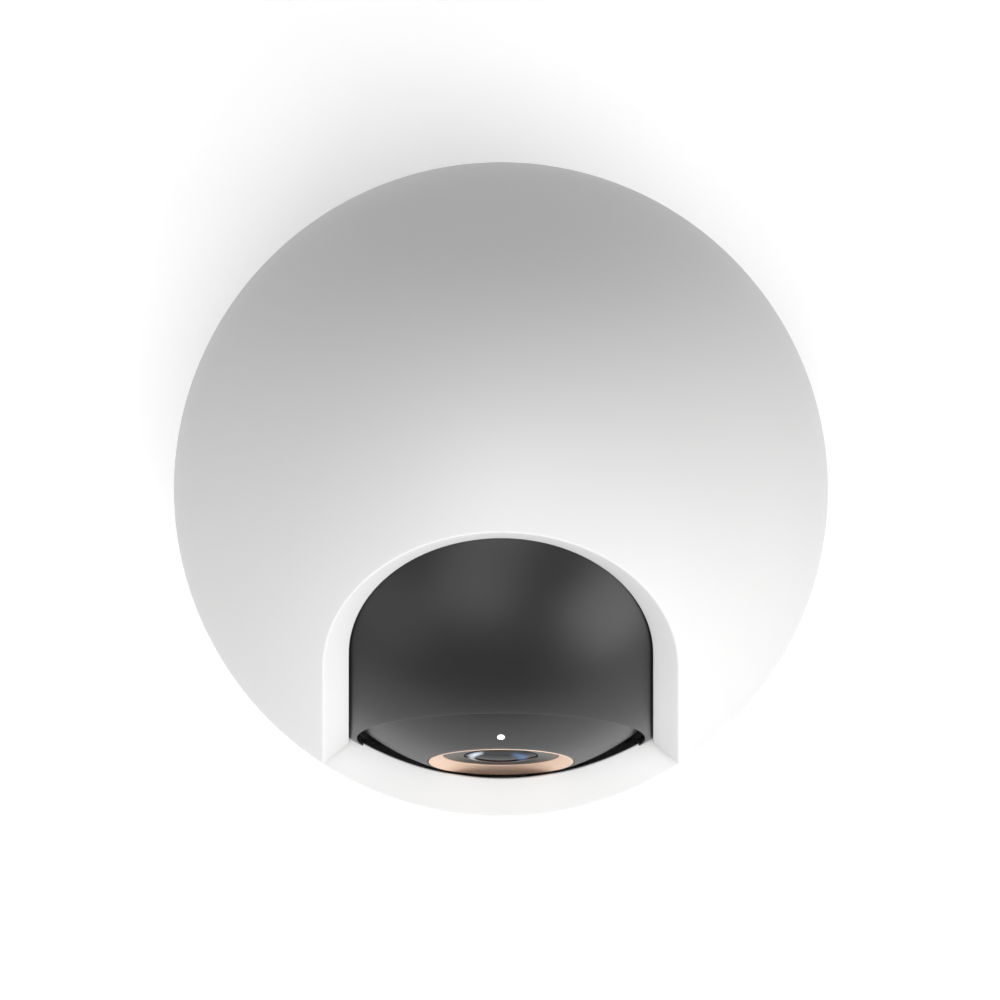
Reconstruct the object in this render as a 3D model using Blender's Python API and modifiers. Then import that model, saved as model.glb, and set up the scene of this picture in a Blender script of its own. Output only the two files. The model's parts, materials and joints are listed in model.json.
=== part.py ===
"""Ball-shaped indoor security camera on a round foot, with a panning ball and a tilting lens unit."""

import math

import bmesh
import bpy

MM = 0.001

# Ball and window
BALL_R = 60.0 * MM
WALL = 2.4 * MM
FLAT_CUT = 16.0 * MM
LIP_DEPTH = 6.0 * MM
WINDOW_OUTER = 32.6 * MM
WINDOW_INNER = 27.7 * MM
FLANGE_EXTRA = 1.9 * MM
FLANGE_SINK = 1.0 * MM
SILL_WIDE = 7.05 * MM
SILL_DROP = 1.05 * MM
SILL_THICK = 1.5 * MM

# Tilting unit
LENS_REST = math.radians(10.0)
LENS_TOP = math.radians(49.5)
CLIP_R = 26.4 * MM
HOOD_WALL = 1.0 * MM
SHELL_WALL = 1.8 * MM
CHEEK = 1.6 * MM
WINDOW_COVER = 2.3 * MM
HOOD_COVER = math.radians(3.6)
SHELL_COVER = math.radians(2.5)
SHELL_SET_BACK = math.radians(2.0)
HOOD_FOOT = math.radians(0.6)
HUB_EXTRA = 2.0 * MM
HUB_STEP = 0.2 * MM
FACE_R = 41.3 * MM
FACE_WALL = 1.6 * MM
RING_PROUD = 0.05 * MM

# Lens
LENS_RING_R = 13.3 * MM
RING_FACE = 2.65 * MM
RING_BEVEL = 1.4 * MM
RING_HEIGHT = 3.0 * MM
BAFFLE_RISE = 0.2 * MM
GLASS_R = 6.6 * MM
GLASS_RISE = 0.8 * MM
GLASS_EDGE = 2.0 * MM
BARREL_INSET = 1.2 * MM
BARREL_WALL = 2.0 * MM
BRACKET_PLACE = 18.0 * MM
BRACKET_THICK = 2.0 * MM
BRACKET_HALF = 13.0 * MM
BOARD_THICK = 1.2 * MM
SENSOR_HALF = 11.0 * MM
IR_PLACE = 38.0 * MM
IR_BOARD_WIDE = 9.0 * MM
IR_LED_R = 1.8 * MM
IR_LED_TALL = 3.5 * MM
IR_LED_ANGLES = (45.0, 135.0, 225.0, 315.0)
PIPE_R = 0.8 * MM
PIPE_OFFSET = 4.1 * MM

# Gears
GEAR_MODULE = 0.8 * MM
GEAR_TEETH = 40
PINION_TEETH = 12
GEAR_THICK = 3.4 * MM
PRESSURE = math.radians(20.0)
BACKLASH = 0.16
ROOT_DEPTH = 1.25
TIP_HEIGHT = 0.9
TILT_MESH = math.radians(-100.0)
PAN_MESH = math.radians(135.0)
SECTOR_EXTRA = math.radians(14.0)
SECTOR_HUB_R = 7.0 * MM
SECTOR_TEETH_BEFORE = 2
SECTOR_BACK = math.radians(45.0)
PINION_BORE = 1.3 * MM

# Inside the ball
CHASSIS_THICK = 2.0 * MM
CHASSIS_RIM = 0.5 * MM
BOSS_R = 3.2 * MM
BOSS_INSET = 1.5 * MM
BOSS_ANGLES = (30.0, 150.0, 210.0, 330.0)
YOKE_THICK = 2.6 * MM
YOKE_HALF = 8.0 * MM
TRUNNION_R = 3.0 * MM
BUSH_WALL = 1.4 * MM
BUSH_PROUD = 0.2 * MM
TILT_MOTOR_R = 6.5 * MM
TILT_MOTOR_LONG = 20.0 * MM
PAN_MOTOR_R = 7.5 * MM
PAN_MOTOR_TALL = 12.0 * MM
SHAFT_R = 1.1 * MM
SHAFT_HOLE_R = 2.2 * MM
MAIN_BOARD_Y = 30.0 * MM
MAIN_BOARD_HALF = 24.0 * MM
MAIN_BOARD_TALL = 42.0 * MM
ANTENNA_HALF = 9.0 * MM
ANTENNA_TALL = 12.0 * MM
SPEAKER_R = 13.0 * MM
SPEAKER_DEEP = 8.0 * MM
SPEAKER_RIM = 4.0 * MM
CONE_R = 9.75 * MM
CONE_DEEP = 1.6 * MM
CONE_CAP_R = 4.9 * MM
SLOT_COUNT = 5
SLOT_PITCH = 4.0 * MM
SLOT_HALF = 0.8 * MM
SLOT_TALL = 14.0 * MM

# Foot
BASE_R = 38.0 * MM
BASE_HEIGHT = 12.4 * MM
BASE_WALL = 2.2 * MM
BASE_ROUND = 1.6 * MM
PAD_THICK = 0.8 * MM
PAD_WIDE = 6.0 * MM
PAD_INSET = 0.5 * MM
PLATE_THICK = 1.8 * MM
POST_R = 10.0 * MM
POST_WALL = 3.0 * MM
POST_FLANGE = 4.0 * MM
FLANGE_THICK = 1.6 * MM
BEARING_WALL = 2.6 * MM
BEARING_FLANGE = 2.4 * MM
BEARING_TOP = 1.2 * MM
FOOT_BOSS_R = 3.4 * MM
FOOT_BOSS_INSET = 10.0 * MM
FOOT_BOSS_ANGLES = (30.0, 150.0, 270.0)
INLET_HALF = 6.5 * MM
SOCKET_HALF = 4.5 * MM
SOCKET_TALL = 3.2 * MM
SOCKET_DEEP = 7.3 * MM
SOCKET_BACK = 8.0 * MM
SOCKET_SKIN = 0.35 * MM
SOCKET_FLOOR = 1.2 * MM
TONGUE_HALF = 3.3 * MM
TONGUE_THICK = 0.7 * MM
BASE_BOARD_HALF = 12.0 * MM
BASE_BOARD_LONG = 15.0 * MM
BUTTON_X = 16.0 * MM
BUTTON_R = 1.6 * MM
BUTTON_COLLAR = 1.0 * MM
BUTTON_COLLAR_THICK = 0.8 * MM
BUTTON_TRAVEL = 0.8 * MM
BUTTON_PROUD = 0.4 * MM
SWITCH_HALF = 2.5 * MM
SWITCH_DEEP = 3.0 * MM

# Screws
SCREW_R = 0.95 * MM
SCREW_HEAD_R = 2.0 * MM
SCREW_HEAD = 1.2 * MM
SCREW_FLAT_R = 1.4 * MM
SCREW_EDGE = 0.6 * MM
SCREW_LONG = 5.0 * MM

# Clearances
GAP = 0.3 * MM
SEAM = 0.3 * MM
PAN_GAP = 0.6 * MM
RUN_GAP = 0.07 * MM
SEAT_GAP = 0.05 * MM
MESH_GAP = 0.1 * MM
SWEEP_GAP = 0.5 * MM
RING_SWEEP = 0.3 * MM
YOKE_GAP = 1.8 * MM
SWING_GAP = 1.0 * MM
CUT_THROUGH = 2.0 * MM

# Fineness of round shapes
FINE = 48
MEDIUM = 32
SMALL = 20
TINY = 12
ARCH_STEPS = 26
SIDE_STEPS = 10
DOME_OUT_STEPS = 14
DOME_IN_STEPS = 9
FLANGE_STEPS = 13
BOWL_OUT_STEPS = 8
BOWL_IN_STEPS = 6
SILL_STEPS = 16
SHELL_OUT_STEPS = 10
SHELL_IN_STEPS = 8
SHELL_SWEEP_STEPS = 20
HOOD_STEPS = 12
HOOD_SWEEP_STEPS = 16
FACE_OUT_STEPS = 7
FACE_IN_STEPS = 5
BULGE_STEPS = 5
CORNER_STEPS = 4
SECTOR_BACK_STEPS = 12
SMOOTH_UNDER = math.radians(30.0)
WELD = 0.01 * MM
SPIN_WELD = 0.001 * MM

# Worked out from the sizes above, from the ball's centre unless said otherwise
INNER_R = BALL_R - WALL
LIP_R = BALL_R - LIP_DEPTH
FLAT_Z = FLAT_CUT - BALL_R
FLOOR_Z = FLAT_Z + WALL
CENTRE_Z = BASE_HEIGHT + PAN_GAP - FLAT_Z
SILL_R = BALL_R - SILL_WIDE
OUTER_DEPTH = math.sqrt(BALL_R**2 - WINDOW_OUTER**2)
INNER_DEPTH = math.sqrt(LIP_R**2 - WINDOW_INNER**2)
FLANGE_HALF = WINDOW_OUTER + FLANGE_EXTRA
WINDOW_TOP = LENS_TOP + math.asin(WINDOW_OUTER / BALL_R)

HALF_WIDTH = WINDOW_INNER + WINDOW_COVER
CHEEK_IN = HALF_WIDTH - CHEEK
HOOD_R = LIP_R - SWEEP_GAP
SHELL_R = HOOD_R - HOOD_WALL - GAP
HOOD_LOW = HOOD_FOOT - LENS_REST
HOOD_HIGH = WINDOW_TOP + HOOD_COVER - LENS_REST
SHELL_HIGH = HOOD_HIGH - SHELL_SET_BACK
SHELL_LOW = -LENS_TOP - SHELL_COVER
TILT_TRAVEL = LENS_TOP - LENS_REST
FACE_OUT = CLIP_R - GAP
FACE_HOLE = LENS_RING_R + GAP
RING_TOP = math.sqrt((SILL_R - RING_SWEEP) ** 2 - LENS_RING_R**2)
FACE_CENTRE = RING_TOP - RING_PROUD - math.sqrt(FACE_R**2 - LENS_RING_R**2)
RING_IN = LENS_RING_R - RING_FACE
RING_BOTTOM = RING_TOP - RING_HEIGHT
BAFFLE_TOP = RING_TOP - RING_BEVEL - SEAT_GAP
GLASS_TOP = BAFFLE_TOP + BAFFLE_RISE
BARREL_R = RING_IN - BARREL_INSET
BRACKET_TOP = BRACKET_PLACE + BRACKET_THICK
PIPE_UP = LENS_RING_R + PIPE_OFFSET
PIPE_TOP = FACE_CENTRE + math.sqrt(FACE_R**2 - PIPE_UP**2)
IR_TOP = IR_PLACE + BOARD_THICK
IR_REACH = BARREL_R + GAP + IR_BOARD_WIDE / 2

GEAR_R = GEAR_MODULE * GEAR_TEETH / 2
PINION_R = GEAR_MODULE * PINION_TEETH / 2
GEAR_REACH = GEAR_R + PINION_R + MESH_GAP
GEAR_PITCH = 2 * math.pi / GEAR_TEETH
TILT_GEAR_OUT = CHEEK_IN - GAP
TILT_GEAR_IN = TILT_GEAR_OUT - GEAR_THICK
HUB_R = GEAR_R + HUB_EXTRA

PINION_TIP = PINION_R + TIP_HEIGHT * GEAR_MODULE
CHASSIS_TOP = GEAR_REACH * math.sin(TILT_MESH) - max(TILT_MOTOR_R, PINION_TIP) - GAP
CHASSIS_LOW = CHASSIS_TOP - CHASSIS_THICK
FLOOR_R = math.sqrt(INNER_R**2 - FLOOR_Z**2)
BOSS_REACH = FLOOR_R - BOSS_R - BOSS_INSET
CHASSIS_R = BOSS_REACH + BOSS_R + CHASSIS_RIM
CHASSIS_FRONT = CHASSIS_TOP / math.tan(-SHELL_LOW - LENS_REST) + SWING_GAP
PAN_GEAR_TOP = CHASSIS_LOW - 2 * GAP
PAN_GEAR_LOW = PAN_GEAR_TOP - GEAR_THICK
YOKE_IN = HALF_WIDTH + YOKE_GAP
YOKE_OUT = YOKE_IN + YOKE_THICK
BUSH_R = TRUNNION_R + RUN_GAP + BUSH_WALL
SPEAKER_Z = CHASSIS_TOP + SPEAKER_R + 2 * GAP
SPEAKER_Y = MAIN_BOARD_Y + BOARD_THICK + CUT_THROUGH
ANTENNA_Z = CHASSIS_TOP + MAIN_BOARD_TALL + CUT_THROUGH

# Worked out, from the underside
PLATE_LOW = PAD_THICK + GAP
PLATE_TOP = PLATE_LOW + PLATE_THICK
PLATE_R = BASE_R - BASE_WALL - GAP
PAD_R = PLATE_R - PAD_INSET
BASE_CEILING = BASE_HEIGHT - BASE_WALL
FLANGE_TOP = BASE_CEILING - GAP
FLANGE_LOW = FLANGE_TOP - FLANGE_THICK
FOOT_BOSS_REACH = BASE_R - BASE_WALL - FOOT_BOSS_INSET
SCREW_SEAT = PLATE_LOW + SCREW_HEAD + SEAT_GAP
HOLE_R = SCREW_R + GAP
HEAD_HOLE_R = SCREW_HEAD_R + GAP
BASE_BOARD_LOW = PLATE_TOP + 2 * GAP
BASE_BOARD_TOP = BASE_BOARD_LOW + BOARD_THICK
SOCKET_LOW = BASE_BOARD_TOP + GAP
SOCKET_TOP = SOCKET_LOW + SOCKET_TALL
SOCKET_MIDDLE = (SOCKET_LOW + SOCKET_TOP) / 2
SOCKET_FRONT = BASE_R - SOCKET_BACK
INLET_LOW = PLATE_TOP + GAP
INLET_TOP = BASE_CEILING - GAP
BUTTON_Z = (PLATE_TOP + BASE_CEILING) / 2
BUTTON_WALL = math.sqrt((BASE_R - BASE_WALL) ** 2 - (BUTTON_X + BUTTON_R + BUTTON_COLLAR) ** 2)
BUTTON_FACE = math.sqrt(BASE_R**2 - BUTTON_X**2) + BUTTON_PROUD
COLLAR_FRONT = BUTTON_WALL - GAP
COLLAR_BACK = COLLAR_FRONT - BUTTON_COLLAR_THICK
STEM_BACK = COLLAR_BACK - BUTTON_COLLAR_THICK
SWITCH_FRONT = STEM_BACK - BUTTON_TRAVEL - GAP

# Directions of pieces built on another axis: the object's own Z becomes this one
UPRIGHT = (0, 0, 0)
FLIPPED = (math.pi, 0, 0)
SIDEWAYS = (0, math.pi / 2, 0)
FRONT = (math.pi / 2, 0, 0)
LENS = (math.pi / 2 - LENS_REST, 0, 0)


def clear_scene():
    """Empties the startup scene."""
    for found in list(bpy.data.objects):
        bpy.data.objects.remove(found, do_unlink=True)


clear_scene()

camera_parts = bpy.data.collections.new("security_camera")
cutters = bpy.data.collections.new("cutters")
bpy.context.scene.collection.children.link(camera_parts)
bpy.context.scene.collection.children.link(cutters)
cutters.hide_render = True


def make_material(name, colour, roughness, metallic=0.0):
    """A Principled material for one kind of surface."""
    material = bpy.data.materials.new(name)
    material.use_nodes = True
    shader = material.node_tree.nodes["Principled BSDF"]
    shader.inputs["Base Color"].default_value = (*colour, 1.0)
    shader.inputs["Roughness"].default_value = roughness
    shader.inputs["Metallic"].default_value = metallic
    return material


WHITE = make_material("white_plastic", (0.85, 0.85, 0.84), 0.35)
BLACK = make_material("black_plastic", (0.03, 0.03, 0.032), 0.3)
MATT = make_material("matt_black_plastic", (0.008, 0.008, 0.008), 0.8)
SMOKE = make_material("smoke_plastic", (0.05, 0.05, 0.052), 0.4)
COPPER = make_material("copper_trim", (0.75, 0.52, 0.4), 0.25, 1.0)
GLASS = make_material("lens_glass", (0.01, 0.012, 0.03), 0.05)
BOARD = make_material("circuit_board", (0.02, 0.16, 0.07), 0.5)
STEEL = make_material("steel", (0.6, 0.6, 0.6), 0.3, 1.0)
ACETAL = make_material("acetal", (0.75, 0.74, 0.7), 0.45)
RUBBER = make_material("rubber", (0.03, 0.03, 0.03), 0.9)
LED = make_material("led_plastic", (0.9, 0.92, 0.95), 0.2)
GREY = make_material("grey_plastic", (0.2, 0.2, 0.21), 0.5)


def axis_empty(name, height):
    """An empty on a joint's axis, which carries the pieces that turn about it."""
    empty = bpy.data.objects.new(name, None)
    empty.location = (0, 0, height)
    camera_parts.objects.link(empty)
    return empty


pan_axis = axis_empty("pan_axis", CENTRE_Z)
tilt_axis = axis_empty("tilt_axis", CENTRE_Z)


def place(mesh_object, material, turn, at, parent):
    """Puts an object in its collection, turned and carried by its joint's empty."""
    if material is None:
        cutters.objects.link(mesh_object)
        mesh_object.hide_render = True
        mesh_object.display_type = "WIRE"
    else:
        camera_parts.objects.link(mesh_object)
        mesh_object.data.materials.append(material)
    mesh_object.rotation_euler = turn
    mesh_object.location = at
    mesh_object.parent = parent
    return mesh_object


def smooth(mesh):
    """Shades round faces smooth and keeps real edges sharp."""
    for face in mesh.polygons:
        face.use_smooth = True
    mesh.set_sharp_from_angle(angle=SMOOTH_UNDER)


def from_bmesh(name, shape, material, turn=UPRIGHT, at=(0, 0, 0), parent=None):
    """Turns a bmesh into a placed object."""
    mesh = bpy.data.meshes.new(name)
    shape.to_mesh(mesh)
    shape.free()
    smooth(mesh)
    return place(bpy.data.objects.new(name, mesh), material, turn, at, parent)


def turned(name, profile, material, turn=UPRIGHT, at=(0, 0, 0), parent=None, steps=MEDIUM):
    """A closed profile of (radius, height) points turned about the object's own Z."""
    area = sum(a[0] * b[1] - b[0] * a[1] for a, b in zip(profile, profile[1:] + profile[:1]))
    if area > 0:
        profile = profile[::-1]
    shape = bmesh.new()
    points = [shape.verts.new((radius, 0, height)) for radius, height in profile]
    on_axis = min(radius for radius, height in profile) == 0
    pairs = list(zip(points, points[1:]))
    if not on_axis:
        pairs.append((points[-1], points[0]))
    for first, second in pairs:
        shape.edges.new((first, second))
    mesh = bpy.data.meshes.new(name)
    shape.to_mesh(mesh)
    shape.free()
    made = place(bpy.data.objects.new(name, mesh), material, turn, at, parent)
    screw = made.modifiers.new("turn", "SCREW")
    screw.steps = steps
    screw.render_steps = steps
    screw.use_merge_vertices = True
    screw.merge_threshold = WELD
    screw.use_smooth_shade = True
    return made


def swept(name, points, axis, sweep, steps, material, turn, parent):
    """A closed ring of points swept about an axis, with flat ends."""
    shape = bmesh.new()
    verts = [shape.verts.new(point) for point in points]
    edges = [
        shape.edges.new((first, second))
        for first, second in zip(verts, verts[1:] + verts[:1])
    ]
    bmesh.ops.spin(shape, geom=edges, cent=(0, 0, 0), axis=axis, angle=sweep, steps=steps)
    bmesh.ops.remove_doubles(shape, verts=shape.verts, dist=SPIN_WELD)
    bmesh.ops.holes_fill(shape, edges=shape.edges, sides=0)
    bmesh.ops.recalc_face_normals(shape, faces=shape.faces)
    return from_bmesh(name, shape, material, turn, (0, 0, 0), parent)


def spun(name, profile, start, sweep, steps, material, turn, parent):
    """A closed profile of (x, radius) points swept about X, from the front upwards."""
    points = [(x, radius * math.sin(start), radius * math.cos(start)) for x, radius in profile]
    return swept(name, points, (-1, 0, 0), sweep, steps, material, turn, parent)


def spun_upright(name, profile, start, sweep, steps, parent):
    """A closed profile of (height, radius) points swept about Z, as a hidden helper."""
    points = [(*polar(radius, start), height) for height, radius in profile]
    return swept(name, points, (0, 0, 1), sweep, steps, None, UPRIGHT, parent)


def block(name, low, high, material, turn=UPRIGHT, at=(0, 0, 0), parent=None):
    """A box between two corners."""
    shape = bmesh.new()
    bmesh.ops.create_cube(shape, size=1.0)
    middle = [(a + b) / 2 for a, b in zip(low, high)]
    size = [b - a for a, b in zip(low, high)]
    bmesh.ops.scale(shape, vec=size, verts=shape.verts)
    bmesh.ops.translate(shape, vec=middle, verts=shape.verts)
    return from_bmesh(name, shape, material, turn, at, parent)


def raised(outline, low, high):
    """A bmesh of a flat outline of (x, y) points given thickness along Z."""
    shape = bmesh.new()
    face = shape.faces.new([shape.verts.new((x, y, low)) for x, y in outline])
    lifted = bmesh.ops.extrude_face_region(shape, geom=[face], use_keep_orig=True)
    top = [item for item in lifted["geom"] if isinstance(item, bmesh.types.BMVert)]
    bmesh.ops.translate(shape, vec=(0, 0, high - low), verts=top)
    bmesh.ops.recalc_face_normals(shape, faces=shape.faces)
    return shape


def extruded(name, outline, low, high, material, at):
    """A flat outline given thickness along Z."""
    return from_bmesh(name, raised(outline, low, high), material, at=at)


def extruded_across(name, outline, low, high, turn, at, parent):
    """A flat outline of (y, z) points given thickness along X."""
    shape = raised(outline, low, high)
    for vert in shape.verts:
        vert.co = (vert.co.z, vert.co.x, vert.co.y)
    return from_bmesh(name, shape, ACETAL, turn, at, parent)


def rod(name, radius, low, high, centre, direction, material, turn=UPRIGHT, at=(0, 0, 0),
        parent=None, steps=SMALL):
    """A round bar along X, Y or Z through a centre given in the other two directions."""
    shape = bmesh.new()
    bmesh.ops.create_cone(
        shape, cap_ends=True, segments=steps, radius1=radius, radius2=radius,
        depth=high - low,
    )
    for vert in shape.verts:
        x, y, z = vert.co
        along = z + (low + high) / 2
        if direction == "X":
            vert.co = (along, x + centre[0], y + centre[1])
        elif direction == "Y":
            vert.co = (y + centre[0], along, x + centre[1])
        else:
            vert.co = (x + centre[0], y + centre[1], along)
    return from_bmesh(name, shape, material, turn, at, parent)


def combine(target, tool, operation):
    """Cuts or joins one hidden helper into a piece."""
    boolean = target.modifiers.new(tool.name, "BOOLEAN")
    boolean.solver = "EXACT"
    boolean.operation = operation
    boolean.object = tool


def arc(radius, start, stop, count):
    """Points (sine, cosine) along part of a circle."""
    step = (stop - start) / count
    return [
        (radius * math.sin(start + step * i), radius * math.cos(start + step * i))
        for i in range(count + 1)
    ]


def zone(radius, half, count):
    """The (x, radius) arc of a sphere between x = -half and x = half."""
    reach = math.asin(half / radius)
    return arc(radius, -reach, reach, count)


def polar(reach, angle):
    """A point at a reach and an angle."""
    return (reach * math.cos(angle), reach * math.sin(angle))


def involute(angle):
    """The involute function of a pressure angle."""
    return math.tan(angle) - angle


def tooth_half(radius, teeth):
    """Half of a tooth's angle at one radius, thinned for backlash."""
    pitch = GEAR_MODULE * teeth / 2
    base = pitch * math.cos(PRESSURE)
    here = math.acos(min(1.0, base / radius))
    full = math.pi / (2 * teeth) + involute(PRESSURE) - involute(here)
    return full - BACKLASH / 2 * GEAR_MODULE / pitch


def gear_outline(teeth, first, count, phase):
    """The toothed edge from one tooth to another, as (x, y) points."""
    pitch = GEAR_MODULE * teeth / 2
    root = pitch - ROOT_DEPTH * GEAR_MODULE
    tip = pitch + TIP_HEIGHT * GEAR_MODULE
    outline = []
    for tooth in range(first, first + count):
        middle = phase + tooth * 2 * math.pi / teeth
        for radius in (root, pitch, tip):
            outline.append(polar(radius, middle - tooth_half(radius, teeth)))
        for radius in (tip, pitch, root):
            outline.append(polar(radius, middle + tooth_half(radius, teeth)))
    return outline


def small_screw(name, length, at, turn, parent=None):
    """A pan-head screw with its origin where the head seats, and its shank below."""
    profile = [
        (0, SCREW_HEAD), (SCREW_FLAT_R, SCREW_HEAD), (SCREW_HEAD_R, SCREW_EDGE),
        (SCREW_HEAD_R, 0), (SCREW_R, 0), (SCREW_R, -length), (0, -length),
    ]
    return turned(name, profile, STEEL, turn, at, parent, TINY)


def cut_hole(target, name, radius, low, high, centre, direction="Z", turn=UPRIGHT, parent=None):
    """Drills a round hole."""
    drill = rod(name, radius, low, high, centre, direction, None, turn, (0, 0, 0), parent, TINY)
    combine(target, drill, "DIFFERENCE")


def cut_block(target, name, low, high, turn=UPRIGHT, parent=None):
    """Cuts a rectangular opening."""
    combine(target, block(name, low, high, None, turn, (0, 0, 0), parent), "DIFFERENCE")


def ring_places(reach, degrees):
    """Places round a circle, at angles from the right-hand side."""
    return [polar(reach, math.radians(angle)) for angle in degrees]


# Foot: rubber ring, screwed plate, housing, power inlet and reset button

def make_foot():
    turned("base_pad", [(PAD_R - PAD_WIDE, 0), (PAD_R, 0), (PAD_R, PAD_THICK),
                        (PAD_R - PAD_WIDE, PAD_THICK)], RUBBER, steps=FINE)
    plate = rod("mount_plate", PLATE_R, PLATE_LOW, PLATE_TOP, (0, 0), "Z", GREY, steps=FINE)
    edge = BASE_HEIGHT - BASE_ROUND
    corner = [(BASE_R - BASE_ROUND + across, edge + up)
              for across, up in arc(BASE_ROUND, 0, math.pi / 2, CORNER_STEPS)]
    inside = BASE_R - BASE_WALL
    housing = turned("base_housing", [
        (POST_R + GAP, BASE_HEIGHT), *corner, (BASE_R, PLATE_LOW), (inside, PLATE_LOW),
        (inside, BASE_CEILING), (POST_R + GAP, BASE_CEILING),
    ], WHITE, steps=FINE)
    places = ring_places(FOOT_BOSS_REACH, FOOT_BOSS_ANGLES)
    for number, place_xy in enumerate(places, 1):
        pillar = rod(f"foot_boss_{number}", FOOT_BOSS_R, PLATE_TOP + GAP, BASE_CEILING + GAP,
                     place_xy, "Z", None)
        combine(housing, pillar, "UNION")
    for number, place_xy in enumerate(places, 1):
        cut_hole(housing, f"foot_pilot_{number}", HOLE_R, 0, SCREW_SEAT + SCREW_LONG + GAP, place_xy)
        cut_hole(plate, f"plate_hole_{number}", HOLE_R, 0, PLATE_TOP + GAP, place_xy)
        cut_hole(plate, f"plate_pocket_{number}", HEAD_HOLE_R, 0, SCREW_SEAT, place_xy)
        small_screw(f"base_screw_{number}", SCREW_LONG, (*place_xy, SCREW_SEAT - SEAT_GAP), FLIPPED)
    cut_block(housing, "inlet_cut", (-INLET_HALF, SOCKET_FRONT, INLET_LOW),
              (INLET_HALF, BASE_R + CUT_THROUGH, INLET_TOP))
    cut_hole(housing, "button_cut", BUTTON_R + GAP, BUTTON_WALL - CUT_THROUGH, BASE_R,
             (BUTTON_X, BUTTON_Z), "Y")


def make_foot_insides():
    block("base_board", (-BASE_BOARD_HALF, SOCKET_FRONT - GAP - BASE_BOARD_LONG, BASE_BOARD_LOW),
          (BASE_BOARD_HALF, SOCKET_FRONT - GAP, BASE_BOARD_TOP), BOARD)
    back = SOCKET_FRONT - SOCKET_DEEP
    socket = block("power_socket", (-SOCKET_HALF, back, SOCKET_LOW),
                   (SOCKET_HALF, SOCKET_FRONT, SOCKET_TOP), STEEL)
    cut_block(socket, "socket_cavity",
              (SOCKET_SKIN - SOCKET_HALF, back + SOCKET_FLOOR, SOCKET_LOW + SOCKET_SKIN),
              (SOCKET_HALF - SOCKET_SKIN, SOCKET_FRONT + GAP, SOCKET_TOP - SOCKET_SKIN))
    tongue = block("socket_tongue",
                   (-TONGUE_HALF, back + SOCKET_FLOOR - GAP, SOCKET_MIDDLE - TONGUE_THICK / 2),
                   (TONGUE_HALF, SOCKET_FRONT - SOCKET_FLOOR, SOCKET_MIDDLE + TONGUE_THICK / 2), None)
    combine(socket, tongue, "UNION")
    block("reset_switch",
          (BUTTON_X - SWITCH_HALF, SWITCH_FRONT - SWITCH_DEEP, BUTTON_Z - SWITCH_HALF),
          (BUTTON_X + SWITCH_HALF, SWITCH_FRONT, BUTTON_Z + SWITCH_HALF), BLACK)


def make_reset_button():
    """Built along its own Z, from its outer face inwards."""
    profile = [
        (0, 0), (BUTTON_R, 0), (BUTTON_R, COLLAR_FRONT - BUTTON_FACE),
        (BUTTON_R + BUTTON_COLLAR, COLLAR_FRONT - BUTTON_FACE),
        (BUTTON_R + BUTTON_COLLAR, COLLAR_BACK - BUTTON_FACE),
        (BUTTON_R, COLLAR_BACK - BUTTON_FACE), (BUTTON_R, STEM_BACK - BUTTON_FACE),
        (0, STEM_BACK - BUTTON_FACE),
    ]
    turned("reset_button", profile, GREY, (-math.pi / 2, 0, 0), (BUTTON_X, BUTTON_FACE, BUTTON_Z),
           steps=SMALL)


def make_pan_post():
    top = CENTRE_Z + PAN_GEAR_TOP + GAP
    bore = POST_R - POST_WALL
    turned("pan_post", [
        (bore, top), (POST_R, top), (POST_R, FLANGE_TOP), (POST_R + POST_FLANGE, FLANGE_TOP),
        (POST_R + POST_FLANGE, FLANGE_LOW), (bore, FLANGE_LOW),
    ], ACETAL)
    outline = gear_outline(GEAR_TEETH, 0, GEAR_TEETH, PAN_MESH + GEAR_PITCH / 2)
    gear = extruded("pan_gear", outline, PAN_GEAR_LOW, PAN_GEAR_TOP, ACETAL, at=(0, 0, CENTRE_Z))
    bore_cut = rod("pan_gear_bore", POST_R + SEAT_GAP, PAN_GEAR_LOW - GAP, PAN_GEAR_TOP + GAP, (0, 0),
                   "Z", None, at=(0, 0, CENTRE_Z), steps=MEDIUM)
    combine(gear, bore_cut, "DIFFERENCE")


# Panning ball: upper dome with the arched window, and lower bowl with the sill

def window_outline(half, reach, low):
    """The window's outline at one depth: two upright sides that an arch joins about the raised lens axis."""
    side = []
    for step in range(SIDE_STEPS + 1):
        rise = low + (LENS_TOP - low) * step / SIDE_STEPS
        side.append((half, reach * math.sin(rise), reach * math.cos(rise)))
    arch = []
    for step in range(1, ARCH_STEPS):
        turn = math.pi * step / ARCH_STEPS
        up = half * math.sin(turn)
        arch.append((half * math.cos(turn),
                     reach * math.sin(LENS_TOP) + up * math.cos(LENS_TOP),
                     reach * math.cos(LENS_TOP) - up * math.sin(LENS_TOP)))
    other = [(-x, y, z) for x, y, z in reversed(side)]
    return [*side, *arch, *other]


def window_wedge(name, near, far, low):
    """A loft through the window, from (half width, reach) inside the ball to the same outside it."""
    shape = bmesh.new()
    rings = [[shape.verts.new(point) for point in window_outline(*place_at, low)]
             for place_at in (near, far)]
    for first, second in zip(range(-1, len(rings[0]) - 1), range(len(rings[0]))):
        shape.faces.new((rings[0][first], rings[0][second], rings[1][second], rings[1][first]))
    for ring, reach in ((rings[0], near[1] / 2), (rings[1], 2 * far[1])):
        tip = shape.verts.new((0, reach * math.sin(LENS_TOP), reach * math.cos(LENS_TOP)))
        for first, second in zip(range(-1, len(ring) - 1), range(len(ring))):
            shape.faces.new((ring[first], ring[second], tip))
    bmesh.ops.recalc_face_normals(shape, faces=shape.faces)
    return from_bmesh(name, shape, None, FRONT, parent=pan_axis)


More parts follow.
